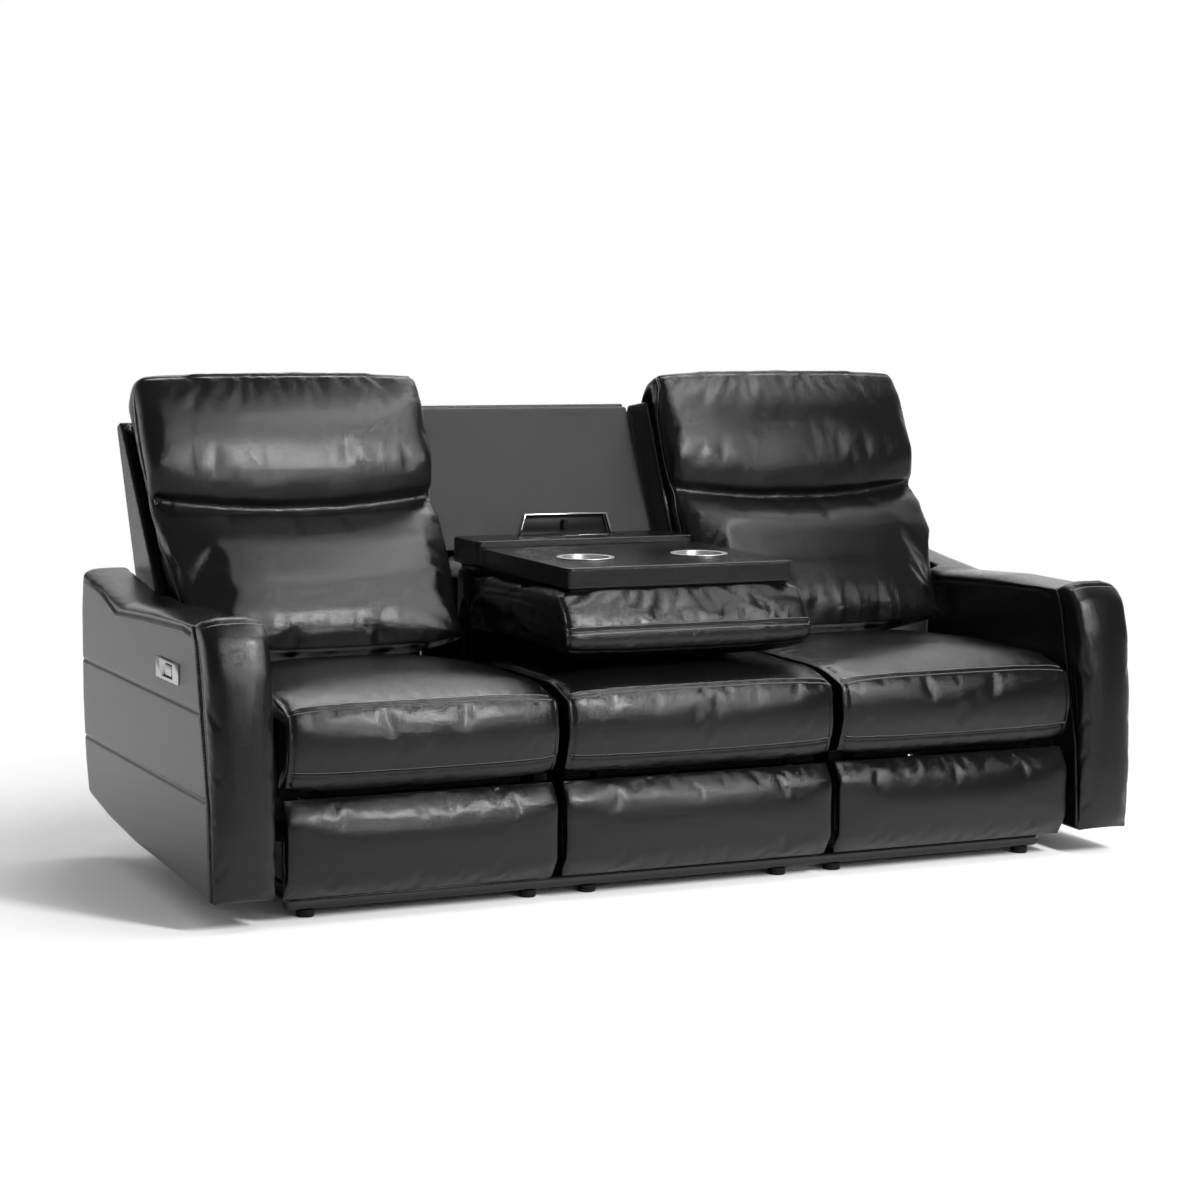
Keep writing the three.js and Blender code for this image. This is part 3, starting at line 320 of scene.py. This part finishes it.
# A darker, less glossy copy of the black enamel for the black steel under the seats: painted shade.
shaded_enamel_copy = finish("enamel_painted_shade", drawn, ("Mottle", "Mottle"), (0.003, 0.003, 0.003),
                     (0.005, 0.005, 0.005), (0.4, 0.5), "Mottle", 0.00008, {"Mottle scale": 300.0},
                     Specular_IOR_Level=0.1)
zinc = finish("zinc_plate", drawn, ("Mottle", "Lines"), (0.03, 0.03, 0.032), (0.05, 0.05, 0.052),
              (0.45, 0.55), "Lines", 0.00005, {"Mottle scale": 45.0}, Metallic=1.0)
chrome = finish("bright_chrome", drawn, ("Mottle", "Mottle"), (0.75, 0.75, 0.76), (0.82, 0.82, 0.83),
                (0.1, 0.16), "Mottle", 0.00002, Metallic=1.0)
stainless = finish("brushed_stainless", drawn, ("Mottle", "Lines"), (0.5, 0.5, 0.5), (0.62, 0.62, 0.62),
                   (0.28, 0.42), "Lines", 0.00004, {"Stretch": (60.0, 60.0, 1500.0)}, Metallic=1.0)
plastic = finish("black_plastic", drawn, ("Mottle", "Mottle"), (0.006, 0.006, 0.006),
                 (0.01, 0.01, 0.01), (0.38, 0.5), "Mottle", 0.0001, {"Mottle scale": 900.0},
                 Specular_IOR_Level=0.15)
# Near-black plywood: a dark stain, and partly painted shade, so the boards stay dark where they show inside
# the frame.
plywood = finish("stain_and_shade_plywood", drawn, ("Lines", "Mottle"), (0.004, 0.004, 0.004), (0.008, 0.007, 0.007),
                 (0.6, 0.75), "Lines", 0.0001, {"Stretch": (6.0, 120.0, 260.0)}, Specular_IOR_Level=0.1)
pale = finish("pale_floor", drawn, ("Mottle", "Mottle"), (0.93, 0.93, 0.93), (0.95, 0.95, 0.95),
              (0.8, 0.9), "Mottle", 0.00001, {"Mottle scale": 3.0})
floor_near, floor_white = 1.2, 2.0
floor_bounce = (0.07, 0.07, 0.07, 1)
tree = pale.node_tree
far = tree.nodes.new("ShaderNodeVectorMath")
far.operation = "LENGTH"
tree.links.new(tree.nodes["Texture Coordinate"].outputs["Object"], far.inputs[0])
glow = tree.nodes.new("ShaderNodeEmission")
fade = tree.nodes.new("ShaderNodeMixShader")
dim = tree.nodes.new("ShaderNodeBsdfDiffuse")
dim.inputs["Color"].default_value = floor_bounce
sight = tree.nodes.new("ShaderNodeLightPath")
shown = tree.nodes.new("ShaderNodeMixShader")
tree.links.new(ramp(tree, far.outputs["Value"], 0.0, 1.0, floor_near, floor_white, "SMOOTHSTEP"),
               fade.inputs["Fac"])
tree.links.new(tree.nodes["Principled BSDF"].outputs["BSDF"], fade.inputs[1])
tree.links.new(glow.outputs["Emission"], fade.inputs[2])
shown_to = maths(tree, "MAXIMUM", sight.outputs["Is Camera Ray"], sight.outputs["Is Glossy Ray"])
tree.links.new(maths(tree, "MAXIMUM", shown_to, sight.outputs["Is Transmission Ray"]), shown.inputs["Fac"])
tree.links.new(dim.outputs["BSDF"], shown.inputs[1])
tree.links.new(fade.outputs["Shader"], shown.inputs[2])
tree.links.new(shown.outputs["Shader"], tree.nodes["Material Output"].inputs["Surface"])
floor.data.materials.append(pale)
print("materials:", len(bpy.data.materials))

# %% [markdown]
# ## Padded pieces
# A leather cushion is cut from flat panels, sewn and filled. The fill presses the panels outwards and the
# seams hold them back. The same is done here. A copy of the solid becomes a fine even skin, cloth pressure
# swells it while its seams are pinned, and the seams are pressed in and gathered afterwards. The pressed
# seams follow lines that are written as measured and then drawn onto the skin.

# %% Copying a solid and giving it an even skin


weld_reach = 0.00001


def alone(piece):
    bpy.ops.object.select_all(action="DESELECT")
    piece.select_set(True)
    bpy.context.view_layer.objects.active = piece


def apply_modifier(piece, kind, **values):
    alone(piece)
    bpy.ops.object.modifier_add(type=kind)
    modifier = piece.modifiers[-1]
    for label, value in values.items():
        setattr(modifier, label, value)
    bpy.ops.object.modifier_apply(modifier=modifier.name)


def skin_of(names, name, voxel=0.009, smooth=4):
    bpy.ops.object.select_all(action="DESELECT")
    for node in names:
        nodes[node].select_set(True)
        bpy.context.view_layer.objects.active = nodes[node]
    bpy.ops.object.duplicate()
    if len(names) > 1:
        bpy.ops.object.join()
    piece = bpy.context.object
    piece.name = name
    piece.data.name = name
    bpy.ops.object.parent_clear(type="CLEAR_KEEP_TRANSFORM")
    bpy.ops.object.mode_set(mode="EDIT")
    bpy.ops.mesh.select_all(action="SELECT")
    bpy.ops.mesh.remove_doubles(threshold=weld_reach)
    bpy.ops.object.mode_set(mode="OBJECT")
    piece.data.remesh_voxel_size = voxel
    bpy.ops.object.voxel_remesh()
    apply_modifier(piece, "SMOOTH", factor=0.5, iterations=smooth)
    return piece


def points_of(piece):
    flat = np.empty(len(piece.data.vertices) * 3, dtype=np.float32)
    piece.data.vertices.foreach_get("co", flat)
    return flat.reshape(-1, 3).astype(float)


def fit_to(piece, names):
    wanted = np.concatenate([points_of(nodes[node]) for node in names])
    points = points_of(piece)
    low, high = points.min(0), points.max(0)
    share = (points - low) / (high - low)
    set_points(piece, wanted.min(0) + share * (wanted.max(0) - wanted.min(0)))


def set_points(piece, points):
    piece.data.vertices.foreach_set("co", points.astype(np.float32).ravel())
    piece.data.update()


def normals_of(piece):
    flat = np.empty(len(piece.data.vertices) * 3, dtype=np.float32)
    piece.data.vertex_normals.foreach_get("vector", flat)
    return flat.reshape(-1, 3).astype(float)


print("skin helpers ready")

# %% [markdown]
# A seam is a chain of points. `seam_reach` finds, for each point of a skin, how far it is from the nearest
# seam, how far along that seam it lies and on which side. With these numbers a seam can be pinned, pressed
# in and gathered: little folds stand across the seam at uneven steps, each with its own height, width and
# slant, and die out a few centimetres away from it.

# %% Distance to seams


def onto(piece, path):
    tree = BVHTree.FromObject(piece, bpy.context.evaluated_depsgraph_get())
    found = [tree.find_nearest(point) for point in path]
    return [hit[0] for hit in found], [hit[1] for hit in found]


far_off = 9.0
seam_break = 0.37


def seam_reach(points, seams):
    nearest = np.full(len(points), far_off)
    place = np.zeros(len(points))
    away = np.zeros((len(points), 3))
    offset = 0.0
    for seam in seams:
        for a, b in zip(seam[:-1], seam[1:]):
            a, b = np.array(a), np.array(b)
            step = b - a
            length = float(np.linalg.norm(step)) or 1e-9
            share = np.clip((points - a) @ step / length**2, 0, 1)
            apart = points - (a + share[:, None] * step)
            gap = np.linalg.norm(apart, axis=1)
            closer = gap < nearest
            nearest[closer] = gap[closer]
            away[closer] = apart[closer]
            place[closer] = offset + share[closer] * length
            offset += length
        offset += seam_break
    return nearest, place, away, offset


fold_spread = 0.12


def gathers(gap, place, total, pitch, reach, slant, seed):
    chance = np.random.default_rng(seed)
    lift = np.zeros(len(gap))
    spot = chance.uniform(0, pitch)
    while spot < total:
        width = pitch * chance.uniform(0.16, 0.3)
        height = chance.uniform(0.35, 1.0) * chance.choice((-1, 1, 1))
        run = reach * chance.uniform(0.5, 1.5)
        turn = slant + chance.uniform(-0.25, 0.25)
        across = (place - spot - turn * gap) / (width + fold_spread * gap)
        lift += height * np.exp(-across ** 2) * np.exp(-gap / run)
        spot += pitch * chance.uniform(0.55, 1.6)
    return lift


print("seam helpers ready")

# %% [markdown]
# The cloth step is short: twenty frames with pressure and without gravity. How far a point may move is
# capped, so that a cushion never grows into its neighbour, and each piece starts slightly shrunken.

# %% Swelling a skin


cloth_frames = 20
pinned_reach = 0.006


def swell(piece, seams, shrink=0.004, cap=0.012, pressure=4.0):
    apply_modifier(piece, "DISPLACE", strength=-shrink, mid_level=0.0)
    start = points_of(piece)
    reach = seam_reach(start, seams)[0]
    held = piece.vertex_groups.new(name="held")
    held.add([int(i) for i in np.nonzero(reach < pinned_reach)[0]], 1.0, "REPLACE")
    alone(piece)
    bpy.ops.object.modifier_add(type="CLOTH")
    cloth = piece.modifiers["Cloth"]
    cloth.settings.quality = 3
    cloth.settings.mass = 0.3
    cloth.settings.tension_stiffness = 12
    cloth.settings.compression_stiffness = 12
    cloth.settings.shear_stiffness = 6
    cloth.settings.bending_stiffness = 4
    cloth.settings.shrink_min = -0.003
    cloth.settings.use_pressure = True
    cloth.settings.uniform_pressure_force = pressure
    cloth.settings.vertex_group_mass = "held"
    cloth.settings.effector_weights.gravity = 0
    cloth.point_cache.frame_start = 1
    cloth.point_cache.frame_end = cloth_frames
    for number in range(1, cloth_frames + 1):
        bpy.context.scene.frame_set(number)
    bpy.ops.object.modifier_apply(modifier="Cloth")
    move = points_of(piece) - start
    length = np.linalg.norm(move, axis=1)
    move *= (np.minimum(length, cap) / np.maximum(length, 1e-9))[:, None]
    set_points(piece, start + move)
    piece.vertex_groups.clear()
    bpy.context.scene.frame_set(1)


print("swell ready")

# %% [markdown]
# After the swelling the skin is subdivided once and the seams are pressed in. `height` sets how high the
# folds beside a seam are, `pitch` how far apart, `reach` how far they run out, and `way` on which side of
# the seam they lie. A piece with wide flat stretches is thinned at the end: `kept` is the share of its
# triangles that stays, and they stay where the surface bends.

# %% Pressing in seams and folds


fold_cut = 5
narrowest = 0.003
way_blend = 0.006


def press(piece, seams, depth=0.005, width=0.005, height=0.0, pitch=0.02, reach=0.03, slant=0.0,
          way=None, seed=0):
    points, normals = points_of(piece), normals_of(piece)
    gap, place, away, total = seam_reach(points, seams)
    push = -depth * np.exp(-(gap / width) ** 2)
    if height:
        near = gap < reach * fold_cut
        folds = np.zeros(len(points))
        folds[near] = gathers(gap[near], place[near], total, pitch, reach, slant, seed)
        folds *= height * (1 - np.exp(-(gap / max(width, narrowest)) ** 2))
        if way is not None:
            folds *= np.clip((away @ np.array(way)) / way_blend, 0, 1)
        push = push + folds
    set_points(piece, points + normals * push[:, None])


def pad(names, name, body, seams, material=leather, voxel=0.009, smooth=4,
        shrink=0.004, cap=0.012, swollen=True, presses=(), kept=1.0):
    names = [names] if isinstance(names, str) else names
    piece = skin_of(names, name, voxel, smooth)
    if swollen:
        swell(piece, [onto(piece, seam)[0] for seam in seams], shrink, cap)
    apply_modifier(piece, "SUBSURF", levels=1, render_levels=1)
    fit_to(piece, names)
    for lines, values in presses:
        press(piece, [onto(piece, seam)[0] for seam in lines], **values)
    if kept < 1:
        apply_modifier(piece, "DECIMATE", ratio=kept)
    piece.data.materials.clear()
    piece.data.materials.append(material)
    alone(piece)
    bpy.ops.object.shade_smooth()
    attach(piece, body)
    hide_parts(*names)
    print(name, len(piece.data.polygons), "faces")
    return piece


print("pad ready")

# %% [markdown]
# Topstitching is a row of short thread bars. One bar is modelled, and its copies are laid on the skin along
# the row, a little into the leather as a pulled thread lies.

# %% Rows of stitches
thread_radius = 0.0007
stitch_length = 0.0052
stitch_rise = 0.0002
bpy.ops.object.select_all(action="DESELECT")
bpy.ops.mesh.primitive_cylinder_add(vertices=6, radius=thread_radius, depth=stitch_length,
                                    location=(0, 0, 0), rotation=(0, pi / 2, 0))
bar = bpy.context.object
bar.name = "stitch_pattern"
bpy.ops.object.transform_apply(location=True, rotation=True, scale=True)
bpy.ops.object.mode_set(mode="EDIT")
bpy.ops.mesh.select_all(action="SELECT")
bpy.ops.mesh.bevel(offset=0.0003, segments=1, affect="EDGES")
bpy.ops.object.mode_set(mode="OBJECT")
bar_points = points_of(bar)
bar_faces = [list(face.vertices) for face in bar.data.polygons]
bpy.data.objects.remove(bar)


def even_steps(path, pitch):
    path = [np.array(p) for p in path]
    lengths = [0.0]
    for a, b in zip(path[:-1], path[1:]):
        lengths.append(lengths[-1] + float(np.linalg.norm(b - a)))
    count = max(2, int(lengths[-1] / pitch))
    wanted = np.linspace(0, lengths[-1], count)
    flat = np.array(path)
    return [Vector([float(np.interp(w, lengths, flat[:, k])) for k in range(3)]) for w in wanted]


def stitches(name, piece, body, rows, pitch=0.0075):
    points, faces = [], []
    for row in rows:
        places, outs = onto(piece, even_steps(row, pitch))
        for i in range(len(places) - 1):
            run = (places[i + 1] - places[i]).normalized()
            out_way = outs[i]
            across = out_way.cross(run).normalized()
            turn = np.array([run, across, out_way]).T
            middle = np.array((places[i] + places[i + 1]) / 2 + out_way * stitch_rise)
            first = len(points)
            points.extend((bar_points @ turn.T + middle).tolist())
            faces.extend([[first + v for v in face] for face in bar_faces])
    mesh = bpy.data.meshes.new(name)
    mesh.from_pydata(points, [], faces)
    mesh.materials.append(thread)
    row_piece = bpy.data.objects.new(name, mesh)
    bpy.context.collection.objects.link(row_piece)
    alone(row_piece)
    bpy.ops.object.shade_smooth()
    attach(row_piece, body)
    print(name, len(faces), "faces")


print("bar faces:", len(bar_faces))

# %% [markdown]
# ## Seats
# Each seat is one soft block with a rolled front. The top panel meets the front panel in a double-stitched
# seam, a second seam runs low across the front, and the side panels close the ends.

# %% Seat cushions
side_seats = {"left": (-937, -337), "middle": (-321, 321), "right": (337, 937)}
top_seam = (-22, 463)
hem_seam = (-34, 299)
stitch_rows = [(-27, 455), (-14, 469), (-36, 306)]
seat_inset = 5
seat_side = [(-18, 276), (-34, 299), (-44, 340), (-45, 390), (-34, 438), (-20, 460), (30, 476), (160, 483),
             (330, 482), (470, 474)]
fine = dict(depth=0.0045, width=0.004, height=0.0007, pitch=0.03, reach=0.02)

for place, (x0, x1) in side_seats.items():
    across = along(x0 + seat_inset, x1 - seat_inset, 30)
    front_seam, low_seam = [[at(x, *seam) for x in across] for seam in (top_seam, hem_seam)]
    ends = [[at(x, y, z) for y, z in seat_side] for x in (x0 + seat_inset, x1 - seat_inset)]
    piece = pad(f"{place}_seat_cushion", f"{place}_seat_leather", "sofa", [front_seam, low_seam, *ends],
                smooth=16,
                presses=[([front_seam, low_seam], fine | dict(seed=abs(x0))),
                         (ends, dict(depth=0.003, width=0.004, height=0.0012, pitch=0.05, seed=abs(x1)))])
    stitches(f"{place}_seat_stitching", piece, "sofa",
             [[at(x, *row) for x in across] for row in stitch_rows])

# %% [markdown]
# ## Front pads
# The two outer pads ride on the footrests and the middle one stays. They are plain pillows with their
# seams hidden at the back, so only their edges are drawn in.

# %% Front pads
for place, (x0, x1) in side_seats.items():
    node = "middle_front_pad" if place == "middle" else f"{place}_footrest_pad"
    body = "sofa" if place == "middle" else f"{place}_footrest"
    edges = [[at(x, y, z) for y, z in ((8, 54), (8, 150), (8, 248))] for x in (x0 + 2, x1 - 2)]
    upper = [at(x, 2, 251) for x in along(x0, x1, 20)]
    lower = [at(x, 6, 51) for x in along(x0, x1, 20)]
    pad(node, f"{place}_front_pad_leather", body, [*edges, upper, lower], voxel=0.007, shrink=0.002,
        cap=0.01, smooth=26, kept=0.7,
        presses=[([upper], dict(depth=0, height=0.0016, pitch=0.035, reach=0.035, seed=abs(x0) + 1)),
                 ([*edges, lower], dict(depth=0, height=0.001, pitch=0.06, reach=0.03, seed=abs(x1)))])

# %% [markdown]
# ## Backs
# A back has two stuffed parts in one cover. The head part bulges in its middle and the lumbar part bulges
# low down, and a deep crease that sags between the side seams divides them. The cover is gathered along
# the side seams and along the brow, which gives the short folds there.

# %% Points on the leaning back
lean = radians(23.6)
heel_y, heel_z = 865, 600


def on_back(x, rise, depth):
    return at(x, heel_y + rise * sin(lean) - depth * cos(lean),
              heel_z + rise * cos(lean) + depth * sin(lean))


inner_side = [(313, 435, 195), (313, 390, 205), (313, 325, 172), (313, 220, 165), (313, 115, 182),
              (313, 35, 190), (313, -70, 205), (313, -230, 215)]
outer_side = [(968, 440, 160), (970, 395, 156), (970, 305, 155), (970, 220, 166), (968, 130, 178),
              (958, 40, 170), (954, -45, 196), (952, -115, 221), (950, -230, 230)]

back_middle, back_half = 644, 330
brow_rise, brow_depth = 428, 200
crease_rise, crease_sag, crease_depth = 138, 28, 190
belly_rise, belly_depth = -205, 290
side_folds = dict(depth=0.005, width=0.004, height=0.0028, pitch=0.024, reach=0.024)

for side, sign in (("left", -1), ("right", 1)):
    body = f"{side}_recliner_back"
    edges = [[on_back(sign * x, rise, depth) for x, rise, depth in side_line]
             for side_line in (inner_side, outer_side)]
    brow = [on_back(sign * x, brow_rise, brow_depth) for x in along(330, 962, 30)]
    crease = [on_back(sign * (back_middle + back_half * u), crease_rise - crease_sag * (1 - u * u),
                      crease_depth) for u in along(-1, 1, 30)]
    belly = [on_back(sign * x, belly_rise, belly_depth) for x in along(430, 850, 20)]
    cover = pad([f"{side}_headrest_cushion", f"{side}_lumbar_cushion"], f"{side}_back_leather", body,
                [*edges, brow, crease], cap=0.016, smooth=28,
                presses=[([crease], dict(depth=0.014, width=0.011, height=0.001, pitch=0.09)),
                         ([edges[0]], side_folds | dict(way=(sign, 0, 0), seed=4 + sign)),
                         ([edges[1]], side_folds | dict(way=(-sign, 0, 0), seed=9 + sign)),
                         ([brow], dict(depth=0.0015, width=0.004, height=0.0022, pitch=0.05, reach=0.04,
                                       slant=-0.6, way=(0, -0.4, -0.9), seed=14 + sign)),
                         ([belly], dict(depth=0, height=0.0016, pitch=0.035, reach=0.04, seed=23 + sign))])
    stitches(f"{side}_back_stitching", cover, body,
             [[point + Vector((sign * shift, 0.006, 0)) for point in edge]
              for edge, shift in zip(edges, (-0.004, 0.004))])

# %% [markdown]
# ## Shells and fixed back
# The outer back panels and the side wings are leather pulled tight over board: nearly flat, with soft
# edges. The panel behind the console is duller, because nobody leans on it.

# %% Shells
for side in ("left", "right"):
    pad(f"{side}_back_shell", f"{side}_shell_leather", f"{side}_recliner_back", [], voxel=0.006, smooth=2,
        swollen=False, kept=0.25)
pad("middle_outback", "middle_outback_leather", "sofa", [], voxel=0.006, smooth=2, swollen=False,
    kept=0.25)
slack = [at(x, 985, 975) for x in along(-290, 290, 12)]
pad("console_back_panel", "console_back_leather", "sofa", [slack],
    material=panel_leather, voxel=0.006, smooth=2, swollen=False, kept=0.25,
    presses=[([slack], dict(depth=0, height=0.0022, pitch=0.16, reach=0.06, slant=0.5, way=(0, 0, -1),
                            seed=5))])

# %% [markdown]
# ## Arms
# An arm is a padded board with a rounded top that dips in the middle and rises to the back. Two flat seams
# cross its outer side and a third follows the top edge. Its front is a separate long pillow.

# %% Arms
arm_top_edge = [(912, 622), (760, 606), (637, 573), (517, 580), (406, 586), (152, 596), (96, 590)]
pad_edge = [(60, 580), (34, 523), (21, 464), (2, 367), (-9, 269), (-20, 150), (-20, 84)]

for side, sign in (("left", -1), ("right", 1)):
    outside = [[at(sign * 1099, y, z) for y in along(y0, 916, 40)] for z, y0 in ((435, 44), (262, 0))]
    rims = [[at(sign * x, y, z) for y, z in arm_top_edge] for x in (1094, 964)]
    arm = pad(f"{side}_arm_body", f"{side}_arm_leather", "sofa", [], voxel=0.007, smooth=6, swollen=False,
              kept=0.45, presses=[(outside, dict(depth=0.0035, width=0.003)),
                                  (rims, dict(depth=0.0035, width=0.0035, height=0.0004, pitch=0.05))])
    stitches(f"{side}_arm_stitching", arm, "sofa",
             [[at(sign * 1098, y + 8, z) for y, z in pad_edge], [at(sign * 1092, y, z - 9)
              for y, z in arm_top_edge]])
    brim = [at(sign * x, 30, 618) for x in along(966, 1092, 12)]
    edges = [[at(sign * x, y - 8, z) for y, z in pad_edge] for x in (962, 1096)]
    front = pad(f"{side}_arm_front_pad", f"{side}_arm_front_leather", "sofa", [brim, *edges],
                voxel=0.007, cap=0.01, shrink=0.002, smooth=22,
                presses=[([brim], dict(depth=0.004, width=0.0035, height=0.0014, pitch=0.022, reach=0.016,
                                       way=(0, 1, 0.2), seed=31)),
                         (edges, dict(depth=0.002, width=0.003))])
    stitches(f"{side}_arm_front_stitching", front, "sofa",
             [[at(sign * x, 22, 616) for x in along(968, 1090, 12)]])

# %% [markdown]
# ## Console
# Seen from the front the console is a fat roll with a stitched nose, with a tray on top and a low block
# behind it. The roll is stuffed. The tray and the block are boards wrapped in leather.

# %% Console roll
nose_ends = [(62, 500), (38, 517), (29, 545), (33, 575), (52, 610), (84, 638)]
nose = [at(x, 30, 566) for x in along(-296, 296, 30)]
under = [at(x, 42, 512) for x in along(-292, 292, 30)]
ends = [[at(x, y, z) for y, z in nose_ends] for x in (-296, 296)]
side_runs = [[at(x, y, z) for y, z in ((33, 580), (120, 600), (240, 606), (328, 606), (430, 602), (520, 596))]
             for x in (-300, 300)]
roll = pad("console_cushion", "console_roll_leather", "console", [nose, under, *ends, *side_runs],
           voxel=0.007, cap=0.01, shrink=0.002, smooth=14, kept=0.65,
           presses=[([nose], dict(depth=0.005, width=0.0035, height=0.0014, pitch=0.014, reach=0.008,
                                  seed=3)),
                    ([nose], dict(depth=0, height=0.0015, pitch=0.16, reach=0.025, slant=-0.7,
                                  way=(0, 0, 1), seed=8)),
                    ([under, *ends], dict(depth=0.003, width=0.004, height=0.0008, pitch=0.04)),
                    (side_runs, dict(depth=0.003, width=0.004, height=0.0008, pitch=0.05))])
stitches("console_roll_stitching", roll, "console",
         [[at(x, 30, 573) for x in along(-294, 294, 30)], [at(x, 30, 559) for x in along(-294, 294, 30)]])

# %% [markdown]
# The tray's leather is glued down flat, so its skin is only softened at the edges. A thin welt runs along
# the front edge of its top, and the block has two welts along its front.

# %% Tray and block


def welt(name, path, body, radius=0.0022, material=leather):
    curve = bpy.data.curves.new(name, "CURVE")
    curve.dimensions = "3D"
    curve.bevel_depth = radius
    curve.bevel_resolution = 3
    spline = curve.splines.new("POLY")
    spline.points.add(len(path) - 1)
    for point, place in zip(spline.points, path):
        point.co = (*place, 1)
    piece = bpy.data.objects.new(name, curve)
    bpy.context.collection.objects.link(piece)
    alone(piece)
    bpy.ops.object.convert(target="MESH")
    piece = bpy.context.object
    piece.data.materials.clear()
    piece.data.materials.append(material)
    bpy.ops.object.shade_smooth()
    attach(piece, body)
    return piece


pad("console_tray", "console_tray_leather", "console", [], voxel=0.004, smooth=1, swollen=False,
    kept=0.35)
pad("console_block", "console_block_leather", "console", [], voxel=0.004, smooth=1, swollen=False,
    kept=0.6)
welt("console_tray_welt", [at(x, 88.5, 690) for x in along(-268, 268, 40)], "console", 0.0016)
welt("console_block_upper_welt", [at(x, 574.5, 703) for x in along(-268, 268, 40)], "console", 0.0024)
welt("console_block_lower_welt", [at(x, 573.5, 693) for x in along(-266, 266, 40)], "console", 0.002)
print("console done")

# %% [markdown]
# Black cloths hang behind the mechanisms, from the rear of each seat's deck down to its floor frame.
# They close the view under the seats and stand in for the shade there: painted shade. Each one is a plane
# that is cut into squares, pinned at its ends by its shape and a little slack in between.

# %% Black cloths for the shade under the seats
cloth_height, cloth_middle = 335, 216
cloth_slack, cloth_waves = 0.004, 9
cloth_thickness = 0.0008
cloth_places = {"left": (-862, -375, 548), "middle": (-396, 396, 590), "right": (375, 862, 548)}
for place, (x0, x1, y) in cloth_places.items():
    bpy.ops.object.select_all(action="DESELECT")
    bpy.ops.mesh.primitive_plane_add(size=1, location=(0, 0, 0), rotation=(pi / 2, 0, 0))
    sheet = bpy.context.object
    sheet.name = f"{place}_shade_cloth"
    sheet.dimensions = ((x1 - x0) / 1000, cloth_height / 1000, 0)
    sheet.location = at((x0 + x1) / 2, y, cloth_middle)
    bpy.ops.object.transform_apply(location=True, rotation=True, scale=True)
    bpy.ops.object.mode_set(mode="EDIT")
    bpy.ops.mesh.subdivide(number_cuts=30)
    bpy.ops.object.mode_set(mode="OBJECT")
    points = points_of(sheet)
    share = (points[:, 0] * 1000 - x0) / (x1 - x0)
    points[:, 1] += cloth_slack * np.sin(share * cloth_waves * pi) * np.sin(share * pi)
    set_points(sheet, points)
    apply_modifier(sheet, "SOLIDIFY", thickness=cloth_thickness, offset=0)
    # Black plastic on these cloths is painted shade under the seats.
    sheet.data.materials.append(plastic)
    bpy.ops.object.shade_smooth()
    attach(sheet, "sofa")
    print(sheet.name, len(sheet.data.polygons), "faces")

# %% [markdown]
# ## Rigid parts
# The nodes that stay keep their shape. Their triangles are welded and their edges slightly rounded by
# modifiers, so that light catches them, and each gets the finish of the real part. The black steel, all but
# the front rail, gets a darker, less glossy copy of the enamel instead, which is painted shade.

# %% Finishes of the rigid parts
pressed_edge, sawn_edge = 0.0012, 0.0008
finishes = {"black_steel": enamel, "zinc_steel": zinc, "chrome": chrome, "brushed_steel": stainless,
            "black_plastic": plastic, "timber": plywood, "leather": leather, "dull_leather": panel_leather}
slots = {entry["node"]: entry["material_slot"] for entry in frame["record"]["subparts"]}
for name, node in nodes.items():
    node.data.materials.clear()
    # All black steel but the front rail gets the darker, less glossy enamel copy: painted shade.
    painted_shade_part = slots[name] == "black_steel" and name != "front_rail"
    node.data.materials.append(shaded_enamel_copy if painted_shade_part else finishes[slots[name]])
    if slots[name] in ("leather", "dull_leather"):
        continue
    weld = node.modifiers.new("weld", "WELD")
    weld.merge_threshold = weld_reach
    edge_round = node.modifiers.new("soft_edges", "BEVEL")
    edge_round.width = sawn_edge if slots[name] == "timber" else pressed_edge
    edge_round.segments = 2
    edge_round.limit_method = "ANGLE"
    edge_round.angle_limit = radians(35)
    edge_round.use_clamp_overlap = True
    node.data.shade_smooth()
print("rigid nodes:", sum(slot not in ("leather", "dull_leather") for slot in slots.values()))
